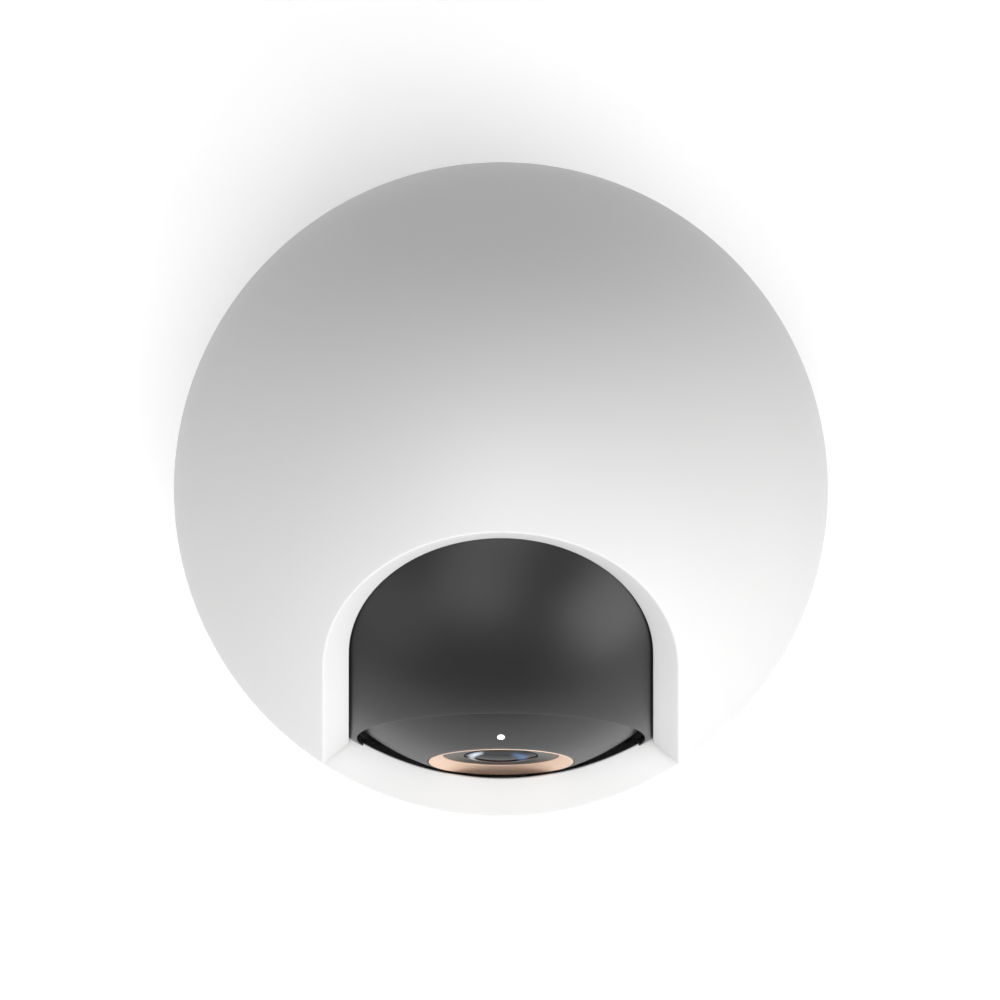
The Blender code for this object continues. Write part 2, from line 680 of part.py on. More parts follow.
def make_upper_dome():
    low = -CUT_THROUGH / BALL_R
    outer = arc(BALL_R, 0, math.pi / 2 - low, DOME_OUT_STEPS)
    inner = arc(INNER_R, 0, math.pi / 2 - low, DOME_IN_STEPS)
    dome = turned("upper_dome", [*outer, *reversed(inner)], WHITE, parent=pan_axis, steps=FINE)
    skin = [*arc(BALL_R - FLANGE_SINK, 0, math.pi / 2 - 2 * low, FLANGE_STEPS),
            *reversed(arc(LIP_R, 0, math.pi / 2 - 2 * low, FLANGE_STEPS))]
    flange = turned("window_flange", skin, None, parent=pan_axis, steps=FINE)
    edge = window_wedge("flange_edge", (FLANGE_HALF, INNER_R / 2), (FLANGE_HALF, 2 * BALL_R), 3 * low)
    combine(flange, edge, "INTERSECT")
    combine(dome, flange, "UNION")
    slope = (WINDOW_OUTER - WINDOW_INNER) / (OUTER_DEPTH - INNER_DEPTH)
    near = INNER_DEPTH - WALL
    far = 2 * BALL_R
    opening = window_wedge("window_cut", (WINDOW_INNER + slope * (near - INNER_DEPTH), near),
                           (WINDOW_OUTER + slope * (far - OUTER_DEPTH), far), 2 * low)
    combine(dome, opening, "DIFFERENCE")
    cut_block(dome, "dome_trim", (-2 * BALL_R, -2 * BALL_R, -BALL_R),
              (2 * BALL_R, 2 * BALL_R, SEAM / 2), parent=pan_axis)


def make_lower_bowl():
    rim = -SEAM / 2
    under = rim - SILL_THICK
    start = math.asin(-rim / BALL_R)
    stop = math.asin(-FLAT_Z / BALL_R)
    outer = [(across, -down) for down, across in arc(BALL_R, start, stop, BOWL_OUT_STEPS)]
    inner_stop = math.asin(-FLOOR_Z / INNER_R)
    inner_start = math.asin((SILL_THICK + CUT_THROUGH) / INNER_R)
    inner = [(across, -down)
             for down, across in arc(INNER_R, inner_start, inner_stop, BOWL_IN_STEPS)]
    bore = POST_R + RUN_GAP + BEARING_WALL + GAP
    bowl = turned("lower_bowl", [
        (SILL_R, rim), *outer, (bore, FLAT_Z), (bore, FLOOR_Z), *reversed(inner), (SILL_R, under),
    ], WHITE, parent=pan_axis, steps=FINE)
    places = ring_places(BOSS_REACH, BOSS_ANGLES)
    for number, place_xy in enumerate(places, 1):
        pillar = rod(f"bowl_boss_{number}", BOSS_R, FLOOR_Z - GAP, CHASSIS_LOW - GAP, place_xy, "Z",
                     None, parent=pan_axis)
        combine(bowl, pillar, "UNION")
    for number, place_xy in enumerate(places, 1):
        cut_hole(bowl, f"bowl_pilot_{number}", HOLE_R, CHASSIS_TOP - SCREW_LONG - GAP, CHASSIS_TOP,
                 place_xy, parent=pan_axis)
    for number in range(SLOT_COUNT):
        middle = (number - (SLOT_COUNT - 1) / 2) * SLOT_PITCH
        cut_block(bowl, f"speaker_slot_{number}",
                  (middle - SLOT_HALF, SPEAKER_Y + SPEAKER_DEEP, SPEAKER_Z - SLOT_TALL / 2),
                  (middle + SLOT_HALF, BALL_R + GAP, SPEAKER_Z + SLOT_TALL / 2), parent=pan_axis)
    half = math.asin(WINDOW_OUTER / BALL_R)
    front = -math.pi / 2
    wedge = [(rim + GAP, SILL_R - GAP), (rim, SILL_R), (rim - SILL_DROP, BALL_R),
             (rim - SILL_DROP - GAP, BALL_R + CUT_THROUGH), (rim + GAP, BALL_R + CUT_THROUGH)]
    slope = spun_upright("sill_slope", wedge, front - half, 2 * half, SILL_STEPS, pan_axis)
    combine(bowl, slope, "DIFFERENCE")


# Fixed in the ball: chassis, yokes, bearing, motors, boards and speaker

def make_chassis():
    chassis = rod("chassis_plate", CHASSIS_R, CHASSIS_LOW, CHASSIS_TOP, (0, 0), "Z", GREY,
                  parent=pan_axis, steps=FINE)
    cut_block(chassis, "swing_cut", (-BALL_R, -BALL_R, CHASSIS_LOW - GAP),
              (BALL_R, CHASSIS_FRONT, CHASSIS_TOP + GAP), parent=pan_axis)
    cut_hole(chassis, "cable_hole", POST_R - POST_WALL, CHASSIS_LOW - GAP, CHASSIS_TOP + GAP, (0, 0),
             parent=pan_axis)
    for number, place_xy in enumerate(ring_places(BOSS_REACH, BOSS_ANGLES), 1):
        cut_hole(chassis, f"chassis_hole_{number}", HOLE_R, CHASSIS_LOW - GAP, CHASSIS_TOP + GAP,
                 place_xy, parent=pan_axis)
        small_screw(f"chassis_screw_{number}", SCREW_LONG, (*place_xy, CHASSIS_TOP + SEAT_GAP),
                    UPRIGHT, pan_axis)
    cut_hole(chassis, "pan_shaft_hole", SHAFT_HOLE_R, CHASSIS_LOW - GAP, CHASSIS_TOP + GAP,
             polar(GEAR_REACH, PAN_MESH), parent=pan_axis)
    inside = POST_R + RUN_GAP
    sleeve = inside + BEARING_WALL
    turned("pan_bearing", [
        (inside, FLOOR_Z + BEARING_TOP), (sleeve + BEARING_FLANGE, FLOOR_Z + BEARING_TOP),
        (sleeve + BEARING_FLANGE, FLOOR_Z + GAP), (sleeve, FLOOR_Z + GAP), (sleeve, FLAT_Z),
        (inside, FLAT_Z),
    ], ACETAL, parent=pan_axis)


def make_yoke(name, side):
    """An upright that carries one end of the tilt axis."""
    near, far = sorted((side * YOKE_IN, side * YOKE_OUT))
    yoke = block(f"yoke_{name}", (near, -YOKE_HALF, CHASSIS_TOP + GAP), (far, YOKE_HALF, 0), GREY,
                 parent=pan_axis)
    crown = rod(f"yoke_crown_{name}", YOKE_HALF, near, far, (0, 0), "X", None, parent=pan_axis,
                steps=MEDIUM)
    combine(yoke, crown, "UNION")
    cut_hole(yoke, f"yoke_bore_{name}", BUSH_R + SEAT_GAP, near - GAP, far + GAP, (0, 0), "X",
             parent=pan_axis)
    inside = TRUNNION_R + RUN_GAP
    turned(f"bush_{name}", [
        (inside, near - BUSH_PROUD), (BUSH_R * math.cos(math.pi / TINY), near - BUSH_PROUD),
        (BUSH_R * math.cos(math.pi / TINY), far + BUSH_PROUD), (inside, far + BUSH_PROUD),
    ], ACETAL, SIDEWAYS, parent=pan_axis, steps=SMALL)


def make_motors():
    tilt_y = -GEAR_REACH * math.cos(TILT_MESH)
    tilt_z = GEAR_REACH * math.sin(TILT_MESH)
    motor_end = TILT_GEAR_IN - 2 * GAP
    motor = rod("tilt_motor", TILT_MOTOR_R, motor_end - TILT_MOTOR_LONG, motor_end,
                (tilt_y, tilt_z), "X", STEEL, parent=pan_axis)
    shaft = rod("tilt_motor_shaft", SHAFT_R, motor_end - GAP, TILT_GEAR_OUT - GAP, (tilt_y, tilt_z),
                "X", None, parent=pan_axis, steps=TINY)
    combine(motor, shaft, "UNION")
    centre = polar(GEAR_REACH, PAN_MESH)
    pan_motor = rod("pan_motor", PAN_MOTOR_R, CHASSIS_TOP + GAP, CHASSIS_TOP + PAN_MOTOR_TALL, centre,
                    "Z", STEEL, parent=pan_axis)
    pan_shaft = rod("pan_motor_shaft", SHAFT_R, PAN_GEAR_LOW, CHASSIS_TOP + 2 * GAP, centre, "Z",
                    None, parent=pan_axis, steps=TINY)
    combine(pan_motor, pan_shaft, "UNION")


def make_ball_electronics():
    low = CHASSIS_TOP + GAP
    block("main_board", (-MAIN_BOARD_HALF, MAIN_BOARD_Y, low),
          (MAIN_BOARD_HALF, MAIN_BOARD_Y + BOARD_THICK, low + MAIN_BOARD_TALL), BOARD,
          parent=pan_axis)
    block("wifi_antenna", (-ANTENNA_HALF, MAIN_BOARD_Y, ANTENNA_Z),
          (ANTENNA_HALF, MAIN_BOARD_Y + BOARD_THICK, ANTENNA_Z + ANTENNA_TALL), BOARD,
          parent=pan_axis)
    turned("speaker", [
        (0, SPEAKER_DEEP - CONE_DEEP), (CONE_CAP_R, SPEAKER_DEEP - CONE_DEEP),
        (CONE_R, SPEAKER_DEEP), (SPEAKER_R, SPEAKER_DEEP), (SPEAKER_R, SPEAKER_DEEP - SPEAKER_RIM),
        (CONE_R, 0), (0, 0),
    ], BLACK, (-math.pi / 2, 0, 0), (0, SPEAKER_Y, SPEAKER_Z), pan_axis, SMALL)


# Tilting unit, built with its own Z along the lens axis

def make_eye_shell():
    outer = zone(SHELL_R, HALF_WIDTH, SHELL_OUT_STEPS)
    inner = zone(SHELL_R - SHELL_WALL, CHEEK_IN, SHELL_IN_STEPS)
    profile = [(-HALF_WIDTH, SECTOR_HUB_R), *outer, (HALF_WIDTH, SECTOR_HUB_R), (CHEEK_IN, SECTOR_HUB_R),
               *reversed(inner), (-CHEEK_IN, SECTOR_HUB_R)]
    shell = spun("eye_housing", profile, SHELL_LOW, SHELL_HIGH - SHELL_LOW, SHELL_SWEEP_STEPS, MATT,
                 LENS, tilt_axis)
    for name, side in (("left", -1), ("right", 1)):
        near, far = sorted((side * (CHEEK_IN + HUB_STEP), side * (HALF_WIDTH - HUB_STEP)))
        hub = rod(f"hub_{name}", HUB_R, near, far, (0, 0), "X", None, parent=tilt_axis)
        combine(shell, hub, "UNION")
    skin = [*zone(HOOD_R, HALF_WIDTH, HOOD_STEPS),
            *reversed(zone(HOOD_R - HOOD_WALL, HALF_WIDTH, HOOD_STEPS))]
    hood = spun("hood", skin, HOOD_LOW, HOOD_HIGH - HOOD_LOW, HOOD_SWEEP_STEPS, BLACK, LENS,
                tilt_axis)
    opening = rod("face_opening", CLIP_R, CLIP_R, BALL_R, (0, 0), "Z", None, LENS, parent=tilt_axis,
                  steps=FINE)
    combine(shell, opening, "DIFFERENCE")
    combine(hood, opening, "DIFFERENCE")


def make_face():
    reach = [math.asin(radius / FACE_R) for radius in (FACE_HOLE, FACE_OUT)]
    outer = [(across, FACE_CENTRE + up) for across, up in arc(FACE_R, *reach, FACE_OUT_STEPS)]
    inside = FACE_R - FACE_WALL
    reach = [math.asin(radius / inside) for radius in (FACE_HOLE, FACE_OUT)]
    inner = [(across, FACE_CENTRE + up) for across, up in arc(inside, *reach, FACE_IN_STEPS)]
    face = turned("face_dome", [*outer, *reversed(inner)], SMOKE, LENS, parent=tilt_axis)
    cut_hole(face, "pipe_hole", PIPE_R + GAP / 2, IR_TOP, BALL_R, (0, PIPE_UP), turn=LENS,
             parent=tilt_axis)
    rod("light_pipe", PIPE_R, IR_TOP + GAP, PIPE_TOP, (0, PIPE_UP), "Z", LED, LENS,
        parent=tilt_axis, steps=TINY)


def make_lens():
    turned("lens_ring", [
        (RING_IN, RING_TOP - RING_BEVEL), (LENS_RING_R, RING_TOP), (LENS_RING_R, RING_BOTTOM),
        (RING_IN, RING_BOTTOM),
    ], COPPER, LENS, parent=tilt_axis, steps=FINE)
    turned("lens_baffle", [
        (GLASS_R + GAP, GLASS_TOP), (RING_IN - GAP, BAFFLE_TOP), (RING_IN - GAP, RING_BOTTOM),
        (GLASS_R + GAP, RING_BOTTOM),
    ], GREY, LENS, parent=tilt_axis)
    curve = (GLASS_R**2 + GLASS_RISE**2) / (2 * GLASS_RISE)
    bulge = [(across, GLASS_TOP + GLASS_RISE - curve + up)
             for across, up in arc(curve, 0, math.asin(GLASS_R / curve), BULGE_STEPS)]
    turned("lens_glass", [
        *bulge, (GLASS_R, GLASS_TOP - GLASS_EDGE), (0, GLASS_TOP - GLASS_EDGE),
    ], GLASS, LENS, parent=tilt_axis)
    floor = BRACKET_TOP + GAP
    bore = BARREL_R - BARREL_WALL
    turned("lens_barrel", [
        (0, floor + BARREL_WALL), (bore, floor + BARREL_WALL), (bore, RING_BOTTOM - GAP),
        (BARREL_R, RING_BOTTOM - GAP), (BARREL_R, floor), (0, floor),
    ], MATT, LENS, parent=tilt_axis)


def make_eye_insides():
    span = CHEEK_IN - GAP
    block("lens_bracket", (-span, -BRACKET_HALF, BRACKET_PLACE), (span, BRACKET_HALF, BRACKET_TOP),
          GREY, LENS, parent=tilt_axis)
    block("sensor_board", (-SENSOR_HALF, -SENSOR_HALF, BRACKET_PLACE - GAP - BOARD_THICK),
          (SENSOR_HALF, SENSOR_HALF, BRACKET_PLACE - GAP), BOARD, LENS, parent=tilt_axis)
    inside = BARREL_R + GAP
    turned("ir_board", [
        (inside, IR_TOP), (inside + IR_BOARD_WIDE, IR_TOP), (inside + IR_BOARD_WIDE, IR_PLACE),
        (inside, IR_PLACE),
    ], BOARD, LENS, parent=tilt_axis)
    for number, centre in enumerate(ring_places(IR_REACH, IR_LED_ANGLES), 1):
        rod(f"ir_led_{number}", IR_LED_R, IR_TOP + GAP, IR_TOP + GAP + IR_LED_TALL, centre, "Z", LED,
            LENS, parent=tilt_axis, steps=TINY)


def make_tilt_drive():
    mesh_at = math.pi / 2 - (TILT_MESH - LENS_REST)
    count = SECTOR_TEETH_BEFORE + math.ceil((TILT_TRAVEL + SECTOR_EXTRA) / GEAR_PITCH)
    phase = mesh_at + GEAR_PITCH / 2
    teeth = gear_outline(GEAR_TEETH, -SECTOR_TEETH_BEFORE, count, phase)
    first = phase - SECTOR_TEETH_BEFORE * GEAR_PITCH
    last = first + (count - 1) * GEAR_PITCH
    back_start = last + SECTOR_BACK
    back_step = (2 * math.pi + first - SECTOR_BACK - back_start) / SECTOR_BACK_STEPS
    back = [polar(SECTOR_HUB_R, back_start + back_step * step) for step in range(SECTOR_BACK_STEPS + 1)]
    sector = [*teeth, *back]
    extruded_across("tilt_gear", sector, TILT_GEAR_IN, TILT_GEAR_OUT, LENS, (0, 0, 0), tilt_axis)
    tooth_at = math.pi / 2 - (TILT_MESH + math.pi)
    outline = gear_outline(PINION_TEETH, 0, PINION_TEETH, tooth_at)
    centre = (0, -GEAR_REACH * math.cos(TILT_MESH), GEAR_REACH * math.sin(TILT_MESH) + CENTRE_Z)
    pinion = extruded_across("tilt_pinion", outline, TILT_GEAR_IN, TILT_GEAR_OUT, FRONT, centre, None)
    bore = rod("tilt_pinion_bore", PINION_BORE, TILT_GEAR_IN - GAP, TILT_GEAR_OUT + GAP, (0, 0), "X",
               None, FRONT, centre, None, TINY)
    combine(pinion, bore, "DIFFERENCE")
    for name, side in (("left", -1), ("right", 1)):
        near, far = sorted((side * (HALF_WIDTH + SEAT_GAP), side * (YOKE_OUT + 2 * GAP)))
        rod(f"trunnion_{name}", TRUNNION_R, near, far, (0, 0), "X", STEEL, parent=tilt_axis)


def make_pan_pinion():
    centre = (*polar(GEAR_REACH, PAN_MESH), CENTRE_Z)
    outline = gear_outline(PINION_TEETH, 0, PINION_TEETH, PAN_MESH + math.pi)
    pinion = extruded("pan_pinion", outline, PAN_GEAR_LOW, PAN_GEAR_TOP, ACETAL, at=centre)
    bore = rod("pan_pinion_bore", PINION_BORE, PAN_GEAR_LOW - GAP, PAN_GEAR_TOP + GAP, (0, 0), "Z",
               None, at=centre, steps=TINY)
    combine(pinion, bore, "DIFFERENCE")


make_foot()
make_foot_insides()
make_reset_button()
make_pan_post()
make_upper_dome()
make_lower_bowl()
make_chassis()
make_yoke("left", -1)
make_yoke("right", 1)
make_motors()
make_ball_electronics()
make_eye_shell()
make_face()
make_lens()
make_eye_insides()
make_tilt_drive()
make_pan_pinion()
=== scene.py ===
# %% [markdown]
# # A ball-shaped indoor camera
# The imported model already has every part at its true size, as coarse solids with flat facets. This lesson
# puts smooth skins and real finishes on them. The camera is a white ball on a round foot. The ball has an
# arched window, and a black lens unit tilts behind it.

# %% Load the frame
import json
import math

import bmesh
import bpy
from mathutils import Matrix, Vector


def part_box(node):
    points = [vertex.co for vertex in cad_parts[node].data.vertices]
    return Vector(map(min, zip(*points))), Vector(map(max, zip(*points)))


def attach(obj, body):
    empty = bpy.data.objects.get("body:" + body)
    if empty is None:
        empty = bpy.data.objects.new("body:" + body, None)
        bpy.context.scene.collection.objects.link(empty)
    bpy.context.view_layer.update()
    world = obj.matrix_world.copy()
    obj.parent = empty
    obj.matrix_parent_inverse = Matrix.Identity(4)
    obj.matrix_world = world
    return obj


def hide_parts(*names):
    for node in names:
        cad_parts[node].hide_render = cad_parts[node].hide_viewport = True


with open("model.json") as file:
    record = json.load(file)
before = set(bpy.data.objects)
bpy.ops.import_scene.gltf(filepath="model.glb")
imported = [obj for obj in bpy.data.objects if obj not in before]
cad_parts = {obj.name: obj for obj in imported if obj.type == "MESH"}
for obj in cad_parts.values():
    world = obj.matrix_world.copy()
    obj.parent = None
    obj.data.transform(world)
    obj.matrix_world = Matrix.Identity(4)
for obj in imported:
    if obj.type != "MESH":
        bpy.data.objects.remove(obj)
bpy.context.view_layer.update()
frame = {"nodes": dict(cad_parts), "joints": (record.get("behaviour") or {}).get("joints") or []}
MM = 0.001
print("parts in the frame:", len(frame["nodes"]))

# %% [markdown]
# ## Sizes
# Everything is measured from the ball's centre, where the tilt axis crosses the pan axis. The tilt joint
# gives that point, and the boxes of the parts give the radii, so the skins sit exactly on the solids.

# %% Sizes from the frame
TILT_JOINT = next(joint for joint in frame["joints"] if joint["name"] == "tilt")
CENTRE = Vector(TILT_JOINT["pos_m"])
BALL_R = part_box("lower_bowl")[1].x
FLAT_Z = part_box("lower_bowl")[0].z - CENTRE.z
FOOT_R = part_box("base_housing")[1].x
FOOT_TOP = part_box("base_housing")[1].z
FOOT_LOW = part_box("base_housing")[0].z
SEAM = 0.15 * MM
INNER_R = BALL_R - 2.4 * MM
LIP_R = BALL_R - 6.0 * MM
SILL_R = BALL_R - 7.05 * MM
WINDOW_HALF = 32.6 * MM
WINDOW_THROAT = 27.7 * MM
LENS_REST = math.radians(10.0)
LENS_TOP = math.radians(49.5)
print("ball radius", round(BALL_R / MM, 2), "mm, centre at", round(CENTRE.z / MM, 2), "mm")

# %% [markdown]
# ## Places on a sphere
# The window, the hood and the face all lie on spheres about one centre. A point is easiest to give as a half
# width, a reach along the direction it faces, and an angle. These helpers turn such numbers into points.

# %% Points and directions
def facing(elevation):
    """The direction straight ahead at one elevation, from the ball's centre."""
    return Vector((0, -math.cos(elevation), math.sin(elevation)))


def above(elevation):
    """The direction at right angles to facing(), towards the top of the arch."""
    return Vector((0, math.sin(elevation), math.cos(elevation)))


def arc(radius, start, stop, count):
    """Points (across, up) along part of a circle, with the angle counted from straight up."""
    turns = [start + (stop - start) * step / count for step in range(count + 1)]
    return [(radius * math.sin(turn), radius * math.cos(turn)) for turn in turns]


def rounded(before, corner, after, radius, count=4):
    """A corner of an outline in two dimensions, replaced by a small round."""
    corner, before, after = Vector(corner), Vector(before), Vector(after)
    first, second = (before - corner).normalized(), (after - corner).normalized()
    half = math.acos(max(-1.0, min(1.0, first.dot(second)))) / 2
    middle = corner + (first + second).normalized() * radius / math.sin(half)
    start = corner + first * radius / math.tan(half) - middle
    stop = corner + second * radius / math.tan(half) - middle
    return [tuple(middle + start.lerp(stop, step / count).normalized() * radius) for step in range(count + 1)]


print("at rest the lens faces", tuple(round(part, 3) for part in facing(LENS_REST)))

# %% [markdown]
# ## From rows of points to a closed skin
# A moulded shell is one closed skin: outside, round the edge, and back along the inside. It can be made by
# cutting solids from each other, but cuts leave long thin faces that spoil a gloss. A grid of rows that
# follow the real edges shades cleanly, so each shell here is a ring of rows, closed at both ends.

# %% Skins from rows
MERGE = 0.002 * MM
SHARP = 32.0
FINE_SHARP = 20.0


def finish_mesh(name, shape, sharp=SHARP):
    """Merges doubles, points the faces outwards and shades the skin smooth up to its real edges."""
    bmesh.ops.remove_doubles(shape, verts=shape.verts, dist=MERGE)
    bmesh.ops.dissolve_degenerate(shape, edges=shape.edges, dist=MERGE / 2)
    bmesh.ops.recalc_face_normals(shape, faces=shape.faces)
    mesh = bpy.data.meshes.new(name)
    shape.to_mesh(mesh)
    shape.free()
    for face in mesh.polygons:
        face.use_smooth = True
    mesh.set_sharp_from_angle(angle=math.radians(sharp))
    piece = bpy.data.objects.new(name, mesh)
    bpy.context.scene.collection.objects.link(piece)
    print(name, len(mesh.polygons), "faces")
    return piece


def skin_from_rows(name, rows):
    """Joins rows of points, and the last row to the first, and closes the two ends with one face each."""
    shape = bmesh.new()
    grid = [[shape.verts.new(CENTRE + Vector(point)) for point in row] for row in rows]
    for one, two in zip(grid, grid[1:] + grid[:1]):
        for step in range(len(one) - 1):
            shape.faces.new((one[step], one[step + 1], two[step + 1], two[step]))
    shape.faces.new([row[0] for row in grid])
    shape.faces.new([row[-1] for row in grid])
    return finish_mesh(name, shape)


def between(first, last, radius, count):
    """Rows over a sphere, from one edge of a patch to the other."""
    rows = []
    for step in range(count + 1):
        share = step / count
        rows.append([a.normalized().lerp(b.normalized(), share).normalized() * radius
                     for a, b in zip(first, last)])
    return rows


print("doubles merge within", MERGE / MM, "mm, and edges over", SHARP, "degrees shade as creases")

# %% [markdown]
# Rings, cups and lenses are turned, as on a lathe. A Screw or Spin tool could do it. Here the outline is
# copied round the axis as columns and joined, so the same few lines also serve the bowl, whose outline
# changes as it goes round.

# %% Turned skins
def join_columns(shape, columns):
    """Faces between closed outlines that stand round an axis, and from the last outline to the first."""
    for one, two in zip(columns, columns[1:] + columns[:1]):
        for low, high in zip(range(-1, len(one) - 1), range(len(one))):
            shape.faces.new((one[low], two[low], two[high], one[high]))


def turned_skin(name, profile, direction, steps, sharp=SHARP):
    """A closed (radius, height) outline turned about an axis through the ball's centre."""
    side = Vector((1, 0, 0))
    other = direction.cross(side)
    shape = bmesh.new()
    columns = []
    for step in range(steps):
        turn = 2 * math.pi * step / steps
        out = side * math.cos(turn) + other * math.sin(turn)
        columns.append([shape.verts.new(CENTRE + out * across + direction * up) for across, up in profile])
    join_columns(shape, columns)
    return finish_mesh(name, shape, sharp)


print("a ball turned in 160 steps has faces", round(2 * math.pi * BALL_R / 160 / MM, 2), "mm wide")

# %% [markdown]
# ## The upper dome
# The dome is half a sphere with an arched window. The window's edge slopes inwards like the frame round a
# car's windscreen, 3 mm to 6 mm deep, and its outer and inner corners are softly rounded. The slope runs
# straight up from the sill at each side and turns over the top as part of a cone about the raised lens axis.
# Rows first follow that slope, then the inside of the shell, then the outside back to the window.

# %% Rows of the window
OUTLINE_SIDE = 26
OUTLINE_ARCH = 72
EDGE_ROUND = 0.45 * MM
LIP_ROUND = 0.3 * MM
FLANGE = 1.9 * MM
GUIDE = 3.0 * MM


def reach_at(radius, half):
    """How far ahead a sphere is at one half width."""
    return math.sqrt(radius ** 2 - half ** 2)


def window_row(half, reach):
    """One row of points up the right of the window, over the arch and down the left."""
    side = [facing(LENS_TOP * step / OUTLINE_SIDE) * reach + Vector((half, 0, 0))
            for step in range(OUTLINE_SIDE + 1)]
    side[0].z = SEAM
    arch = []
    for step in range(1, OUTLINE_ARCH):
        turn = math.pi * step / OUTLINE_ARCH
        arch.append(facing(LENS_TOP) * reach + Vector((half * math.cos(turn), 0, 0))
                    + above(LENS_TOP) * half * math.sin(turn))
    other = [Vector((-point.x, point.y, point.z)) for point in reversed(side)]
    return side + arch + other


def equator_row(first, radius, height):
    """Points round the equator from one foot of the window to the other, by way of the back."""
    start = math.atan2(first.x, -first.y)
    count = 2 * OUTLINE_SIDE + OUTLINE_ARCH
    row = []
    flat = math.sqrt(radius ** 2 - height ** 2)
    for step in range(count + 1):
        turn = start + (2 * math.pi - 2 * start) * step / count
        row.append(Vector((flat * math.sin(turn), -flat * math.cos(turn), height)))
    return row


print("window", [round(2 * half / MM, 1) for half in (WINDOW_HALF, WINDOW_THROAT)], "mm wide outside, inside")

# %% [markdown]
# The section of the window's edge is a list of half widths, each with its reach ahead of the centre. Each
# pair becomes one row round the window. The shell could then be filled by hand, face by face, but rows laid
# from the window's edge to the seam keep every face close to square.

# %% Upper dome
SEAM_EASE = 0.15 * MM
SEAM_BEVEL = 0.12 * MM
INSIDE_ROWS = 30
OUTSIDE_ROWS = 60


def window_profile():
    """The slope of the window as (half width, reach) points, from the outside to the inside of the shell."""
    outer = (WINDOW_HALF, reach_at(BALL_R, WINDOW_HALF))
    throat = (WINDOW_THROAT, reach_at(LIP_R, WINDOW_THROAT))
    outside = (WINDOW_HALF + GUIDE, reach_at(BALL_R, WINDOW_HALF + GUIDE))
    inside = (WINDOW_THROAT + GUIDE, reach_at(LIP_R, WINDOW_THROAT + GUIDE))
    edge = rounded(outside, outer, throat, EDGE_ROUND, 6)
    lip = rounded(outer, throat, inside, LIP_ROUND, 5)
    slope = [tuple(Vector(edge[-1]).lerp(Vector(lip[0]), share)) for share in (0.25, 0.5, 0.75)]
    flange = WINDOW_HALF + FLANGE
    back = [(half, reach_at(LIP_R, half)) for half in (WINDOW_THROAT + GUIDE / 2, WINDOW_HALF, flange)]
    return [*edge, *slope, *lip, *back, (flange, reach_at(INNER_R, flange))]


profile = window_profile()
rim_rows = [window_row(half, reach) for half, reach in profile]
inner_edge = equator_row(rim_rows[-1][0], INNER_R, SEAM)
outer_edge = equator_row(rim_rows[0][0], BALL_R, SEAM + SEAM_EASE)
seam_edge = equator_row(rim_rows[0][0], BALL_R - SEAM_BEVEL, SEAM)
inside_rows = between(rim_rows[-1], inner_edge, INNER_R, INSIDE_ROWS)[1:]
outside_rows = between(outer_edge, rim_rows[0], BALL_R, OUTSIDE_ROWS)[:-1]
dome = skin_from_rows("dome_shell", rim_rows + inside_rows + [seam_edge] + outside_rows)

# %% [markdown]
# ## The lower bowl
# The bowl carries the sill, the white lip below the window. It is turned, except that the sill falls a
# millimetre towards the outside within the window's width. A row for each direction round the pan axis lets
# that height change where the window begins.

# %% Section of the bowl
BOWL_STEPS = 288
SILL_DROP = 1.05 * MM
SILL_THICK = 1.5 * MM
BORE_R = 13.0 * MM
WINDOW_TURN = math.asin(WINDOW_HALF / BALL_R)
STEP_TURN = math.radians(0.05)
SILL_ROUND = 0.25 * MM
NOSE_ROUND = 0.3 * MM
HEEL_ROUND = 0.5 * MM
SKIRT_TOP = 4.0 * MM
OUTSIDE_STEPS = 46
INSIDE_STEPS = 24


def bowl_profile(drop):
    """The bowl's section as (radius, height) points, with the sill falling by a drop towards the outside."""
    rim = -SEAM - drop
    outer = (math.sqrt(BALL_R ** 2 - rim ** 2), rim)
    below = (math.sqrt(BALL_R ** 2 - (rim - GUIDE) ** 2), rim - GUIDE)
    lip = (SILL_R, -SEAM)
    under = (SILL_R, -SEAM - SILL_THICK)
    edge = rounded(lip, outer, below, SILL_ROUND)
    start = math.asin(-edge[-1][1] / BALL_R)
    stop = math.asin(-FLAT_Z / BALL_R)
    outside = [(across, -down) for down, across in arc(BALL_R, start, stop, OUTSIDE_STEPS)][1:-1]
    foot = rounded(outside[-1], (BALL_R * math.cos(stop), FLAT_Z), (BORE_R, FLAT_Z), HEEL_ROUND)
    floor = FLAT_Z + BALL_R - INNER_R
    inner_stop = math.asin(-floor / INNER_R)
    inside = [(across, -down)
              for down, across in arc(INNER_R, inner_stop, math.asin(SKIRT_TOP / INNER_R), INSIDE_STEPS)]
    nose = rounded(under, lip, outer, NOSE_ROUND)
    return [*nose, *edge, *outside, *foot, (BORE_R, FLAT_Z), (BORE_R, floor), *inside, under]


print("bowl section:", len(bowl_profile(0.0)), "points")

# %% [markdown]
# The section goes round in equal turns, with two extra turns a hair apart at each side of the window. The
# sill drops between them, which gives the clean step that the moulding has.

# %% Lower bowl
def make_bowl():
    """The bowl's section carried round the pan axis."""
    shape = bmesh.new()
    columns = []
    turns = [2 * math.pi * step / BOWL_STEPS for step in range(BOWL_STEPS)]
    turns += [side * (WINDOW_TURN + shift) % (2 * math.pi)
              for side in (-1, 1) for shift in (-STEP_TURN, STEP_TURN)]
    for turn in sorted(turns):
        away = min(turn, 2 * math.pi - turn)
        drop = SILL_DROP if away < WINDOW_TURN else 0.0
        columns.append([
            shape.verts.new(CENTRE + Vector((across * math.sin(turn), -across * math.cos(turn), up)))
            for across, up in bowl_profile(drop)
        ])
    join_columns(shape, columns)
    return finish_mesh("bowl_shell", shape)


bowl = make_bowl()

